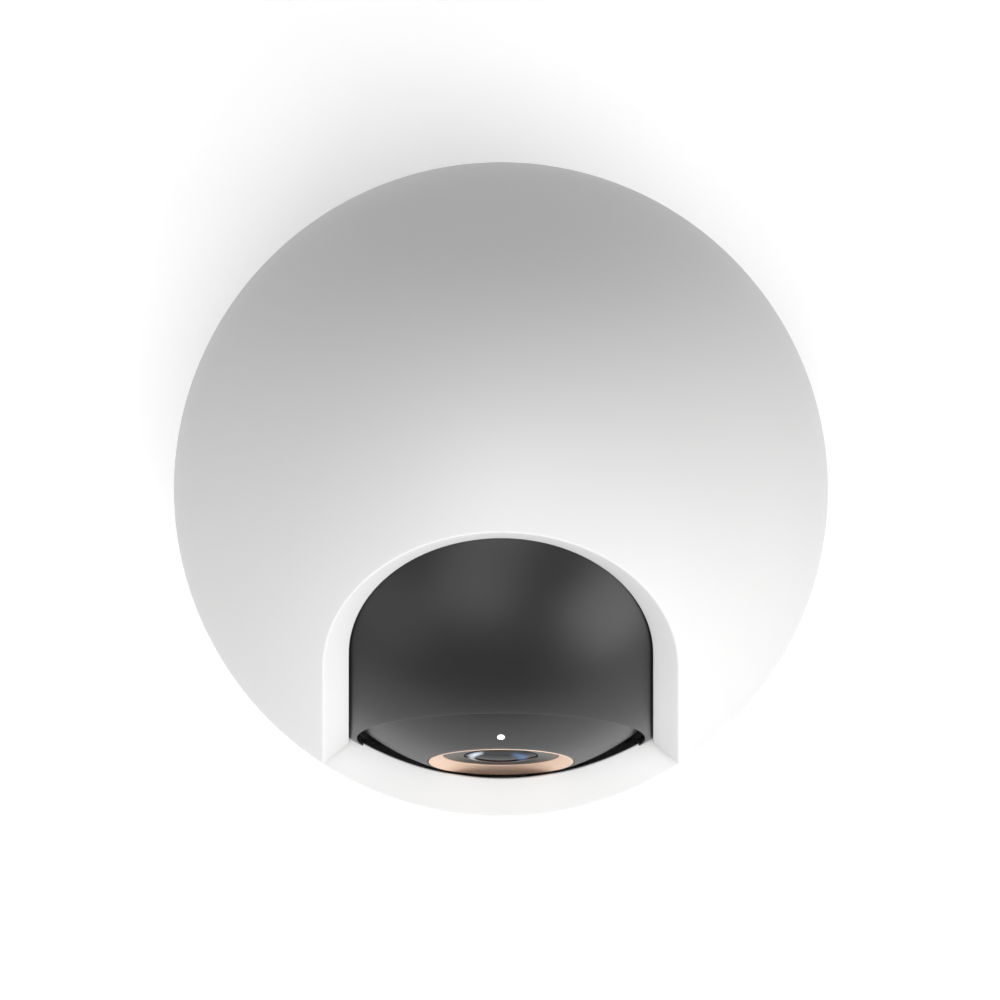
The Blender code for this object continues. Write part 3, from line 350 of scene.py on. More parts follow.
# %% [markdown]
# ## Slots for the speaker
# Sound leaves through a row of upright slots at the back of the bowl. A row of equal bars is work for
# Geometry Nodes: one bar is placed along a line, and the count, the pitch and the bar's size are inputs.
# The bars become one plain mesh, which then cuts the bowl. First come the helpers that any tree needs.

# %% A Geometry Nodes tree from Python
def geometry_tree(name, inputs):
    """An empty tree with a geometry output and named number inputs."""
    tree = bpy.data.node_groups.new(name, "GeometryNodeTree")
    tree.interface.new_socket("Geometry", in_out="OUTPUT", socket_type="NodeSocketGeometry")
    for label, kind in inputs:
        tree.interface.new_socket(label, in_out="INPUT", socket_type=kind)
    return tree, tree.nodes.new("NodeGroupInput"), tree.nodes.new("NodeGroupOutput")


def add(tree, kind, settings=None, **sockets):
    """A node with its settings, then the values or links of its sockets, named with underscores."""
    node = tree.nodes.new(kind)
    for key, value in (settings or {}).items():
        setattr(node, key, value)
    for key, value in sockets.items():
        socket = node.inputs[key.replace("_", " ")]
        if isinstance(value, bpy.types.NodeSocket):
            tree.links.new(value, socket)
        else:
            socket.default_value = value
    return node


def grown(name, tree, values):
    """A plain mesh object from a tree, with each input set by its socket's identifier."""
    holder = bpy.data.objects.new(name + "_tree", bpy.data.meshes.new(name + "_tree"))
    bpy.context.scene.collection.objects.link(holder)
    modifier = holder.modifiers.new("tree", "NODES")
    modifier.node_group = tree
    for item in tree.interface.items_tree:
        if item.item_type == "SOCKET" and item.in_out == "INPUT" and item.name in values:
            modifier[item.identifier] = values[item.name]
    bpy.context.view_layer.update()
    evaluated = holder.evaluated_get(bpy.context.evaluated_depsgraph_get())
    mesh = bpy.data.meshes.new_from_object(evaluated)
    mesh.name = name
    bpy.data.objects.remove(holder)
    piece = bpy.data.objects.new(name, mesh)
    bpy.context.scene.collection.objects.link(piece)
    print(name, "grown with", len(mesh.polygons), "faces")
    return piece


def holding_material(name):
    """A material that a tree can set, to be given its real nodes later."""
    material = bpy.data.materials.new(name)
    material.use_nodes = True
    return material


print("helpers: an empty tree, a node in it, and a mesh grown from it")

# %% [markdown]
# The tree for the slots is a line of points with a bar on each. Realize Instances makes the bars real faces,
# because copies that only exist as instances can't cut anything. Set Material gives the bars their own
# finish, though the bowl is later painted one white all over, slot walls too.

# %% Speaker slots
SLOT_MATERIAL = holding_material("slot_edge")
slot_tree, slot_in, slot_out = geometry_tree("speaker_slots", [
    ("Count", "NodeSocketInt"), ("Pitch", "NodeSocketVector"), ("Start", "NodeSocketVector"),
    ("Size", "NodeSocketVector"),
])
slot_line = add(slot_tree, "GeometryNodeMeshLine", {"mode": "OFFSET"}, Count=slot_in.outputs["Count"],
                Start_Location=slot_in.outputs["Start"], Offset=slot_in.outputs["Pitch"])
slot_bar = add(slot_tree, "GeometryNodeMeshCube", Size=slot_in.outputs["Size"])
slot_set = add(slot_tree, "GeometryNodeInstanceOnPoints", Points=slot_line.outputs["Mesh"],
               Instance=slot_bar.outputs["Mesh"])
slot_real = add(slot_tree, "GeometryNodeRealizeInstances", Geometry=slot_set.outputs["Instances"])
slot_done = add(slot_tree, "GeometryNodeSetMaterial", Geometry=slot_real.outputs["Geometry"],
                Material=SLOT_MATERIAL)
slot_tree.links.new(slot_done.outputs["Geometry"], slot_out.inputs["Geometry"])

speaker_low, speaker_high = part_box("speaker")
SLOT_COUNT = 5
SLOT_PITCH = 4.0 * MM
SLOT_SIZE = Vector((1.6 * MM, 20.0 * MM, 14.0 * MM))
SLOT_CLEAR = 0.5 * MM
speaker_z = (speaker_low.z + speaker_high.z) / 2
slot_y = speaker_high.y + SLOT_SIZE.y / 2 + SLOT_CLEAR
slot_start = Vector((-SLOT_PITCH * (SLOT_COUNT - 1) / 2, slot_y, speaker_z))
slots = grown("slot_bars", slot_tree, {
    "Count": SLOT_COUNT, "Pitch": (SLOT_PITCH, 0.0, 0.0), "Start": slot_start, "Size": SLOT_SIZE,
})


# %% [markdown]
# A Boolean takes the bars out of the bowl. Its result replaces the bowl's mesh at once, so no modifier stays
# on the piece, and the bars are removed.

# %% Cut the slots
def cut(piece, *tools):
    """Cuts tools from a piece, leaves it a plain mesh, and removes the tools."""
    for tool in tools:
        boolean = piece.modifiers.new("cut", "BOOLEAN")
        boolean.solver = "EXACT"
        boolean.object = tool
    bpy.context.view_layer.update()
    evaluated = piece.evaluated_get(bpy.context.evaluated_depsgraph_get())
    mesh = bpy.data.meshes.new_from_object(evaluated)
    piece.modifiers.clear()
    piece.data = mesh
    for tool in tools:
        bpy.data.objects.remove(tool)
    piece.data.set_sharp_from_angle(angle=math.radians(SHARP))
    print(piece.name, "cut:", len(piece.data.polygons), "faces")


cut(bowl, slots)

# %% [markdown]
# ## The hood
# The hood is a thin black skin that curves over the lens unit and hides the gap behind it when the unit
# tilts. It has a round opening about the lens axis, and it ends in two small feet beside the opening. The
# opening's edge is the thin dark line that frames the face, so it gets its own small round.

# %% Sizes of the hood
HOOD_R = LIP_R - 0.5 * MM
HOOD_INNER = HOOD_R - 1.0 * MM
HOOD_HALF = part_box("hood")[1].x
CLIP_R = 26.4 * MM
HOOD_LOW = math.radians(-9.4)
HOOD_HIGH = math.radians(76.0)
HOOD_STEPS = 160
HOOD_ROUND = 0.14 * MM
HOOD_INSIDE_ROWS = 24
HOOD_OUTSIDE_ROWS = 48
AHEAD = facing(LENS_REST)
UP = above(LENS_REST)
SIDE = Vector((1, 0, 0))


def lens_point(across, up, forward):
    """A point given across, up and forward along the lens axis."""
    return SIDE * across + UP * up + AHEAD * forward


print("hood", round(2 * HOOD_HALF / MM, 1), "mm wide, with an opening", round(2 * CLIP_R / MM, 1), "mm wide")

# %% [markdown]
# Rows run from the opening's round edge to the hood's border, inside and outside. Both the opening and the
# border are counted in the same number of steps, so each point of one has its partner on the other.

# %% Hood
def opening_row(radius, forward):
    """Points round the face opening from its right foot over the top to its left foot."""
    foot = forward * math.tan(HOOD_LOW)
    start = math.asin(foot / radius)
    row = []
    for step in range(HOOD_STEPS + 1):
        turn = start + (math.pi - 2 * start) * step / HOOD_STEPS
        row.append(lens_point(radius * math.cos(turn), radius * math.sin(turn), forward))
    return row


def border_row(radius):
    """Points up the hood's right side, over its top and down its left side."""
    side = HOOD_STEPS // 4
    row = []
    for step in range(HOOD_STEPS + 1):
        rise = HOOD_LOW + (HOOD_HIGH - HOOD_LOW) * min(1.0, step / side, (HOOD_STEPS - step) / side)
        share = max(0.0, min(1.0, (step - side) / (HOOD_STEPS - 2 * side)))
        across = HOOD_HALF * math.cos(math.pi * share)
        here = reach_at(radius, across)
        row.append(lens_point(across, here * math.sin(rise), here * math.cos(rise)))
    return row


def hood_profile():
    """The opening's edge as (radius, forward) points, from the outside skin to the inside."""
    outside = (CLIP_R + GUIDE, reach_at(HOOD_R, CLIP_R + GUIDE))
    outer = (CLIP_R, reach_at(HOOD_R, CLIP_R))
    inner = (CLIP_R, reach_at(HOOD_INNER, CLIP_R))
    return [*rounded(outside, outer, inner, HOOD_ROUND, 5), inner]


edge_rows = [opening_row(radius, forward) for radius, forward in hood_profile()]
hood_inside = between(edge_rows[-1], border_row(HOOD_INNER), HOOD_INNER, HOOD_INSIDE_ROWS)[1:]
hood_outside = between(border_row(HOOD_R), edge_rows[0], HOOD_R, HOOD_OUTSIDE_ROWS)[:-1]
hood = skin_from_rows("hood_shell", edge_rows + hood_inside + hood_outside)

# %% [markdown]
# ## The face and the lens
# Everything inside the opening is turned about the lens axis: a smoked dome, a copper ring that lies flush
# with it and slopes inwards, a dark ring with fine steps, and the lens. Each is a closed outline turned in
# many steps, with small rounds wherever the moulded or machined edge would catch light.

# %% Face dome
TURN_STEPS = 192
SWEEP = 0.3 * MM
FACE_SET_BACK = 0.05 * MM
FACE_GAP = 0.15 * MM
RIM_GAP = 0.3 * MM
RIM_ROUND = 0.25 * MM
FACE_R = 41.3 * MM
FACE_WALL = 1.6 * MM
RING_R = 13.3 * MM
RING_IN = RING_R - 2.65 * MM
RING_BEVEL = 1.4 * MM
RING_TOP = math.sqrt((SILL_R - SWEEP) ** 2 - RING_R ** 2)
FACE_CENTRE = RING_TOP - FACE_SET_BACK - math.sqrt(FACE_R ** 2 - RING_R ** 2)
GLASS_R = 6.6 * MM


def face_height(radius, across):
    """How far forward a sphere about the face's own centre is."""
    return FACE_CENTRE + math.sqrt(radius ** 2 - across ** 2)


def face_arc(radius, first, last, count):
    """Part of a sphere about the face's own centre, as (radius, forward) points."""
    points = arc(radius, math.asin(first / radius), math.asin(last / radius), count)
    return [(across, FACE_CENTRE + up) for across, up in points]


face_in, face_out = RING_R + FACE_GAP, CLIP_R - RIM_GAP
face_outer = face_arc(FACE_R, RING_R + 0.5 * MM, face_out - RIM_GAP, 26)
face_inner = face_arc(FACE_R - FACE_WALL, face_in, face_out, 14)
face_nose = (face_in, face_height(FACE_R, face_in))
face_rim = (face_out, face_height(FACE_R, face_out))
face = turned_skin("face_shell", [
    *rounded(face_inner[0], face_nose, face_outer[1], FACE_GAP, 3), *face_outer[1:-1],
    *rounded(face_outer[-2], face_rim, face_inner[-1], RIM_ROUND, 3), *reversed(face_inner),
], AHEAD, TURN_STEPS)

# %% [markdown]
# The copper ring frames the lens. It is a short tube whose front slopes inwards, so it catches light like a
# chamfer. A torus would look inflated, so the section is a four-cornered outline with two small rounds.

# %% Copper ring
RING_DEEP = 2.6 * MM
RING_STEPS = 224
ring_low = RING_TOP - RING_DEEP
ring_corners = [(RING_R, ring_low), (RING_R, RING_TOP), (RING_IN, RING_TOP - RING_BEVEL), (RING_IN, ring_low)]
ring = turned_skin("copper_ring", [
    ring_corners[0],
    *rounded(ring_corners[0], ring_corners[1], ring_corners[2], 0.14 * MM, 5),
    *rounded(ring_corners[1], ring_corners[2], ring_corners[3], 0.1 * MM, 4),
    ring_corners[3],
], AHEAD, RING_STEPS)

# %% [markdown]
# The dark ring between the copper and the glass has four shallow steps that stop stray light. The steps
# follow a rule, so the outline is worked out in a loop: a short flat, then a small rise, towards the glass.

# %% Stepped baffle
BAFFLE_STEPS = 4
BAFFLE_TOP = RING_TOP - RING_BEVEL - 0.05 * MM
BAFFLE_RISE = 0.2 * MM
BAFFLE_DEEP = 2.4 * MM
SLANT = 0.1 * MM
baffle_outer = RING_IN - 0.15 * MM
baffle_inner = GLASS_R + 0.12 * MM
stair = []
for number in range(BAFFLE_STEPS):
    share = number / BAFFLE_STEPS
    level = BAFFLE_TOP + BAFFLE_RISE * share
    across = baffle_outer + (baffle_inner - baffle_outer) * share
    following = baffle_outer + (baffle_inner - baffle_outer) * (number + 1) / BAFFLE_STEPS
    stair += [(across, level), (following + SLANT, level)]
baffle_low = RING_TOP - BAFFLE_DEEP
baffle = turned_skin("lens_baffle_ring", [(baffle_outer, baffle_low), *stair, (baffle_inner, baffle_low)],
                     AHEAD, 160, FINE_SHARP)

# %% [markdown]
# The front lens is a shallow dome of glass, 0.8 mm high at its middle. Its radius of curvature follows from
# that height and its width. The outline stops just short of the axis, so the turned skin closes at a tiny
# ring instead of a point with many faces of no width.

# %% Lens glass
GLASS_RISE = 0.8 * MM
GLASS_DEEP = 1.8 * MM
glass_edge = BAFFLE_TOP + BAFFLE_RISE
curve = (GLASS_R ** 2 + GLASS_RISE ** 2) / (2 * GLASS_RISE)
tip = 0.02 * MM
bulge = [(max(across, tip), glass_edge + GLASS_RISE - curve + up)
         for across, up in arc(curve, 0, math.asin(GLASS_R / curve), 16)]
glass_back = glass_edge - GLASS_DEEP
glass = turned_skin("lens_front", [*bulge, (GLASS_R, glass_back), (tip, glass_back)], AHEAD, 128)

# %% [markdown]
# The status light is the end of a clear pin that brings light from a board behind the face. The face is
# curved, so a flat pin would sink in on one side. Each point of its end is set from the face's own height.

# %% Status light
PIPE_UP = RING_R + 4.1 * MM
PIPE_R = 0.8 * MM
PIPE_PROUD = 0.1 * MM
PIPE_DEEP = 5.0 * MM
PIPE_STEPS = 32


def make_status_light():
    """A short clear pin whose rounded end follows the face and stands just proud of it."""
    bump = [(across, PIPE_PROUD - 0.25 * (PIPE_R - rise))
            for across, rise in arc(PIPE_R, 0.05, math.pi / 2, 8)]
    outline = [*bump, (PIPE_R, -PIPE_DEEP), (0.05 * MM, -PIPE_DEEP)]
    shape = bmesh.new()
    columns = []
    for step in range(PIPE_STEPS):
        turn = 2 * math.pi * step / PIPE_STEPS
        columns.append([])
        for across, above_face in outline:
            x, up = across * math.cos(turn), PIPE_UP + across * math.sin(turn)
            forward = face_height(FACE_R, math.hypot(x, up)) + above_face
            columns[-1].append(shape.verts.new(CENTRE + lens_point(x, up, forward)))
    join_columns(shape, columns)
    return finish_mesh("status_light", shape)


light_pin = make_status_light()

# %% [markdown]
# ## The foot
# The foot is a turned white cup with a soft top edge. A rectangular recess at the back takes the power plug,
# and a small round hole beside it shows the reset button. Both are cut after turning, because they sit on one
# side only. The recess is a box with rounded corners, as a moulding tool would leave it.

# %% Foot housing
FOOT_WALL = 2.2 * MM
FOOT_ROUND = 1.6 * MM
POST_HOLE = 10.3 * MM
FOOT_EASE = 0.4 * MM


def foot_point(across, height):
    """A point of the foot's outline, with its height counted from the ball's centre."""
    return (across, height - CENTRE.z)


foot_top = [foot_point(FOOT_R - FOOT_ROUND + across, FOOT_TOP - FOOT_ROUND + up)
            for across, up in arc(FOOT_ROUND, 0, math.pi / 2, 8)]
foot_ceiling = FOOT_TOP - FOOT_WALL
foot = turned_skin("foot_shell", [
    foot_point(POST_HOLE, FOOT_TOP), *foot_top, foot_point(FOOT_R, FOOT_LOW + FOOT_EASE),
    foot_point(FOOT_R - FOOT_EASE, FOOT_LOW), foot_point(FOOT_R - FOOT_WALL, FOOT_LOW),
    foot_point(FOOT_R - FOOT_WALL, foot_ceiling), foot_point(POST_HOLE, foot_ceiling),
], Vector((0, 0, 1)), TURN_STEPS)

# %% [markdown]
# The recess and the button hole go through the foot's wall. Their places come from the boxes of the inlet and
# the button, so they stay in line with what they show. Each cutter reaches a few millimetres past the wall,
# because a cut that ends on a surface leaves a skin behind.

# %% Recess and button hole
RECESS_HALF = 6.5 * MM
RECESS_ROUND = 1.6 * MM
RECESS_GAP = 0.3 * MM
HOLE_HALF = 1.9 * MM
HOLE_ROUND = 1.85 * MM
HOLE_START = 28.0 * MM
PAST = 3.0 * MM


def rounded_box(name, low, high, radius, axis):
    """A box whose four long edges along one axis are rounded."""
    shape = bmesh.new()
    bmesh.ops.create_cube(shape, size=1.0)
    bmesh.ops.scale(shape, vec=high - low, verts=shape.verts)
    bmesh.ops.translate(shape, vec=(low + high) / 2, verts=shape.verts)
    along = [edge for edge in shape.edges
             if abs((edge.verts[0].co - edge.verts[1].co).normalized()[axis]) > 0.9]
    bmesh.ops.bevel(shape, geom=along, offset=radius, segments=6, affect="EDGES", profile=0.5)
    return finish_mesh(name, shape)


socket_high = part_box("power_socket")[1]
button_low, button_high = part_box("reset_button")
plate_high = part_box("mount_plate")[1].z
recess = rounded_box("recess", Vector((-RECESS_HALF, socket_high.y, plate_high + RECESS_GAP)),
                     Vector((RECESS_HALF, FOOT_R + PAST, foot_ceiling - RECESS_GAP)), RECESS_ROUND, 1)
button_x = (button_low.x + button_high.x) / 2
button_z = (button_low.z + button_high.z) / 2
hole = rounded_box("button_hole", Vector((button_x - HOLE_HALF, HOLE_START, button_z - HOLE_HALF)),
                   Vector((button_x + HOLE_HALF, FOOT_R + PAST, button_z + HOLE_HALF)), HOLE_ROUND, 1)
cut(foot, recess, hole)

# %% [markdown]
# ## Rubber pad
# The pad is a soft ring with fine grooves that grip a shelf. A groove is a small dip in the outline, repeated
# across the ring's width, so the outline is built in a loop and then turned.

# %% Rubber pad
pad_low, pad_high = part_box("base_pad")
PAD_WIDE = 6.0 * MM
GROOVES = 5
GROOVE_DEEP = 0.2 * MM
pad_outline = [foot_point(pad_high.x - PAD_WIDE, pad_high.z), foot_point(pad_high.x, pad_high.z)]
for number in range(GROOVES):
    start = pad_high.x - PAD_WIDE * number / GROOVES
    step = PAD_WIDE / GROOVES
    pad_outline += [foot_point(start, pad_low.z), foot_point(start - 0.6 * step, pad_low.z),
                    foot_point(start - 0.7 * step, pad_low.z + GROOVE_DEEP),
                    foot_point(start - 0.9 * step, pad_low.z + GROOVE_DEEP)]
pad_outline.append(foot_point(pad_high.x - PAD_WIDE, pad_low.z))
pad = turned_skin("rubber_ring", pad_outline[::-1], Vector((0, 0, 1)), 128, FINE_SHARP)

# %% [markdown]
# ## Screws in the foot
# Three equal screws hold the plate. Geometry Nodes place one head on a circle of points and turn a cross
# recess into it. The count, the reach and the head's size are inputs, so another foot needs new numbers only.

# %% Foot screws
SCREW_MATERIAL = holding_material("screw_steel")
screw_tree, screw_in, screw_out = geometry_tree("foot_screws", [
    ("Count", "NodeSocketInt"), ("Reach", "NodeSocketFloat"), ("Head", "NodeSocketFloat"),
    ("Depth", "NodeSocketFloat"), ("Place", "NodeSocketVector"), ("Slot", "NodeSocketVector"),
])
circle = add(screw_tree, "GeometryNodeMeshCircle", Vertices=screw_in.outputs["Count"],
             Radius=screw_in.outputs["Reach"])
head = add(screw_tree, "GeometryNodeMeshCylinder", Vertices=40, Radius=screw_in.outputs["Head"],
           Depth=screw_in.outputs["Depth"])
bar = add(screw_tree, "GeometryNodeMeshCube", Size=screw_in.outputs["Slot"])
turned_bar = add(screw_tree, "GeometryNodeTransform", Geometry=bar.outputs["Mesh"],
                 Rotation=(0.0, 0.0, math.pi / 2))
cross = add(screw_tree, "GeometryNodeJoinGeometry")
half_down = add(screw_tree, "ShaderNodeMath", {"operation": "MULTIPLY"}, Value=screw_in.outputs["Depth"])
half_down.inputs[1].default_value = -0.5
drop_by = add(screw_tree, "ShaderNodeCombineXYZ", Z=half_down.outputs["Value"])
for link in (bar.outputs["Mesh"], turned_bar.outputs["Geometry"]):
    screw_tree.links.new(link, cross.inputs["Geometry"])
sunk = add(screw_tree, "GeometryNodeTransform", Geometry=cross.outputs["Geometry"],
           Translation=drop_by.outputs["Vector"])
with_cross = add(screw_tree, "GeometryNodeMeshBoolean", {"operation": "DIFFERENCE"})
screw_tree.links.new(head.outputs["Mesh"], with_cross.inputs["Mesh 1"])
screw_tree.links.new(sunk.outputs["Geometry"], with_cross.inputs["Mesh 2"])
heads = add(screw_tree, "GeometryNodeInstanceOnPoints", Points=circle.outputs["Mesh"],
            Instance=with_cross.outputs["Mesh"])
placed = add(screw_tree, "GeometryNodeTransform", Geometry=heads.outputs["Instances"],
             Translation=screw_in.outputs["Place"], Rotation=(0.0, 0.0, math.radians(30.0)))
real = add(screw_tree, "GeometryNodeRealizeInstances", Geometry=placed.outputs["Geometry"])
steel_set = add(screw_tree, "GeometryNodeSetMaterial", Geometry=real.outputs["Geometry"],
                Material=SCREW_MATERIAL)
screw_tree.links.new(steel_set.outputs["Geometry"], screw_out.inputs["Geometry"])

screw_low, screw_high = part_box("base_screw_1")
screw_middle = (screw_low + screw_high) / 2
HEAD_TALL = 1.2 * MM
HEAD_R = 1.95 * MM
CROSS_SIZE = (2.3 * MM, 0.55 * MM, 1.0 * MM)
screws = grown("foot_screw_heads", screw_tree, {
    "Count": 3, "Reach": math.hypot(screw_middle.x, screw_middle.y), "Head": HEAD_R, "Depth": HEAD_TALL,
    "Place": (0.0, 0.0, screw_low.z + HEAD_TALL / 2), "Slot": CROSS_SIZE,
})
for face_of_screw in screws.data.polygons:
    face_of_screw.use_smooth = True
screws.data.set_sharp_from_angle(angle=math.radians(SHARP))

# %% [markdown]
# # Finishes
# A finish is a small network of nodes. Writing each node by hand hides the idea, so two helpers keep the
# arithmetic readable: a wire is one socket that can be added, multiplied or raised to a power, and a finish
# is one material with a method that makes any node.

# %% Wires
class Wire:
    """One output socket that takes part in Python arithmetic."""

    def __init__(self, finish, socket):
        self.finish = finish
        self.socket = socket

    def maths(self, operation, *values):
        node = self.finish.node("ShaderNodeMath", {"operation": operation})
        for slot, value in zip(node.inputs, values):
            self.finish.feed(slot, value)
        return Wire(self.finish, node.outputs["Value"])

    def __add__(self, other):
        return self.maths("ADD", self, other)

    def __mul__(self, other):
        return self.maths("MULTIPLY", self, other)

    def __sub__(self, other):
        return self.maths("SUBTRACT", self, other)

    def __rsub__(self, other):
        return self.maths("SUBTRACT", other, self)

    def __pow__(self, other):
        return self.maths("POWER", self, other)

    __radd__ = __add__
    __rmul__ = __mul__


print("wires add, subtract, multiply and raise, from either side of the sign")

# %% [markdown]
# A finish begins with a Principled shader. What is the same all over is set on the shader's own sockets. What
# varies comes as a wire. Numbers go through Math nodes, but a colour would turn grey there, so colours go
# through a Mix node.

# %% Finishes
class Finish:
    """A material whose nodes are written as expressions."""

    def __init__(self, name, colour, roughness, metallic=0.0, **fixed):
        self.material = bpy.data.materials.get(name) or bpy.data.materials.new(name)
        self.material.use_nodes = True
        self.tree = self.material.node_tree
        self.shader = self.tree.nodes["Principled BSDF"]
        self.set(Base_Color=(*colour, 1.0), Roughness=roughness, Metallic=metallic, **fixed)

    def feed(self, slot, value):
        if isinstance(value, Wire):
            self.tree.links.new(value.socket, slot)
        else:
            slot.default_value = value

    def node(self, kind, settings=None, **sockets):
        made = self.tree.nodes.new(kind)
        for key, value in (settings or {}).items():
            setattr(made, key, value)
        for key, value in sockets.items():
            self.feed(made.inputs[key.replace("_", " ")], value)
        return made

    def wire(self, made, output=0):
        return Wire(self, made.outputs[output])

    def set(self, **sockets):
        for key, value in sockets.items():
            self.feed(self.shader.inputs[key.replace("_", " ")], value)

    def place(self):
        """Where a point is on the object, in metres."""
        return self.wire(self.node("ShaderNodeTexCoord"), "Object")

    def noise(self, scale, detail=3.0, rough=0.5, where=None):
        made = self.node("ShaderNodeTexNoise", Scale=scale, Detail=detail, Roughness=rough,
                         Vector=where or self.place())
        return self.wire(made, "Fac")

    def blend(self, mask, first, second):
        """A colour between two, by a mask."""
        made = self.node("ShaderNodeMix", {"data_type": "RGBA"})
        self.feed(made.inputs["Factor"], mask)
        for number, colour in ((6, first), (7, second)):
            self.feed(made.inputs[number], colour if isinstance(colour, Wire) else (*colour, 1.0))
        return Wire(self, made.outputs[2])

    def band(self, value, middle, half):
        """A soft hump that is one at the middle and nothing beyond half its width."""
        off = (value - middle) * (1.0 / half)
        rise = 1.0 - off * off
        return rise.maths("MAXIMUM", rise, 0.0)

    def bump(self, height, strength, distance):
        made = self.node("ShaderNodeBump", Strength=strength, Distance=distance, Height=height)
        self.set(Normal=self.wire(made, "Normal"))


print("a finish places patterns by the object's own metres, so grain stays the same size on every piece")

# %% [markdown]
# ## Moulded plastics
# Satin plastic is not one flat tone. A fine sparkle from the mould breaks up its highlight, the gloss varies
# a little where it cooled, and the colour drifts by a percent or two. The same recipe, with other numbers,
# gives the white shell, the black hood and the plain inner mouldings.

# %% Plastics
CLOUD_SCALE = 14.0
COOLING_SCALE = 60.0
COOLING_SHARE = 0.08
GRAIN_STRENGTH = 0.12
COAT_ROUGHNESS = 0.12


def plastic(name, colour, roughness, grain=5200.0, depth=0.004, drift=0.03, coat=0.0, shine=0.5):
    """A moulded plastic with a fine grain, in metres of object space."""
    finish = Finish(name, colour, roughness, 0.0, Coat_Weight=coat, Coat_Roughness=COAT_ROUGHNESS,
                    Specular_IOR_Level=shine)
    slow = finish.noise(CLOUD_SCALE, 2.0)
    darker = tuple(channel * (1.0 - drift) for channel in colour)
    lighter = tuple(min(1.0, channel * (1.0 + drift)) for channel in colour)
    finish.set(Base_Color=finish.blend(slow, darker, lighter))
    cooling = finish.noise(COOLING_SCALE, 2.0)
    finish.set(Roughness=(cooling - 0.5) * COOLING_SHARE + roughness)
    finish.bump(finish.noise(grain, 2.0), GRAIN_STRENGTH, depth * MM)
    return finish.material


WHITE = plastic("white_shell_plastic", (0.67, 0.67, 0.667), 0.52, drift=0.008)
FOOT_WHITE = plastic("white_foot_plastic", (0.67, 0.67, 0.665), 0.52, drift=0.012)
HOOD_BLACK = plastic("hood_black_plastic", (0.010, 0.010, 0.0105), 0.36, depth=0.003, shine=0.36)
SMOKE = plastic("smoked_face_plastic", (0.020, 0.020, 0.0205), 0.34, depth=0.002, shine=0.34)
MATT = plastic("matt_black_moulding", (0.006, 0.006, 0.006), 0.75, depth=0.01)
INNER_GREY = plastic("grey_moulding", (0.12, 0.12, 0.125), 0.5, depth=0.008)
NATURAL = plastic("natural_acetal", (0.68, 0.67, 0.62), 0.42, depth=0.006)
BUTTON_GREY = plastic("button_grey", (0.35, 0.35, 0.36), 0.45)
BAFFLE_GREY = plastic("baffle_grey", (0.055, 0.06, 0.058), 0.36, depth=0.002)
print("white shell uses", len(WHITE.node_tree.nodes), "nodes")

# %% [markdown]
# ## Copper-coloured trim and steel
# The trim is a thin satin metal coat over a moulded ring, so it is only partly metallic. Its fine lathe lines
# run round the lens axis, so the noise reads only the distance from that axis. A Mapping node turns object
# space until its Z lies along the axis. Motors and screws are full metal, clouded a little by handling.

# %% Metals
def axis_place(finish, centre, tilt):
    """Object space, moved to a centre and turned about X so that Z lies along an axis."""
    turn = Matrix.Rotation(-tilt, 3, "X")
    moved = -(turn @ Vector(centre))
    mapping = finish.node("ShaderNodeMapping", {"vector_type": "POINT"}, Vector=finish.place(),
                          Location=moved, Rotation=(-tilt, 0.0, 0.0))
    return finish.wire(mapping, "Vector")


def turned_metal(name, colour, roughness, metallic, centre, tilt, lines=9000.0, strength=0.25):
    """A metal coat with fine lines round an axis."""
    finish = Finish(name, colour, roughness, metallic)
    split = finish.node("ShaderNodeSeparateXYZ", Vector=axis_place(finish, centre, tilt))
    across = finish.wire(split, "X")
    up = finish.wire(split, "Y")
    radius = (across * across + up * up) ** 0.5
    rings = finish.node("ShaderNodeTexNoise", {"noise_dimensions": "1D"}, W=radius, Scale=lines, Detail=2.0)
    line = finish.wire(rings, "Fac")
    finish.bump(line, strength, 0.01 * MM)
    finish.set(Roughness=(line - 0.5) * 0.12 + roughness)
    darker = tuple(channel * 0.93 for channel in colour)
    finish.set(Base_Color=finish.blend(line, darker, colour))
    return finish.material


def plain_steel(name, colour=(0.56, 0.57, 0.58), roughness=0.32):
    """Steel with soft cloudy wear in its gloss."""
    finish = Finish(name, colour, roughness, 1.0)
    cloud = finish.noise(700.0, 4.0)
    finish.set(Roughness=(cloud - 0.5) * 0.25 + roughness)
    finish.set(Base_Color=finish.blend(cloud, tuple(c * 0.85 for c in colour), colour))
    finish.bump(finish.noise(4000.0, 2.0), 0.2, 0.006 * MM)
    return finish.material


LENS_TILT = math.pi / 2 - LENS_REST
COPPER = turned_metal("copper_trim_metal", (0.80, 0.58, 0.45), 0.42, 0.35, CENTRE, LENS_TILT)
STEEL = plain_steel("part_steel")
plain_steel("screw_steel")
plastic("slot_edge", (0.76, 0.76, 0.755), 0.4)
print("copper trim uses", len(COPPER.node_tree.nodes), "nodes")
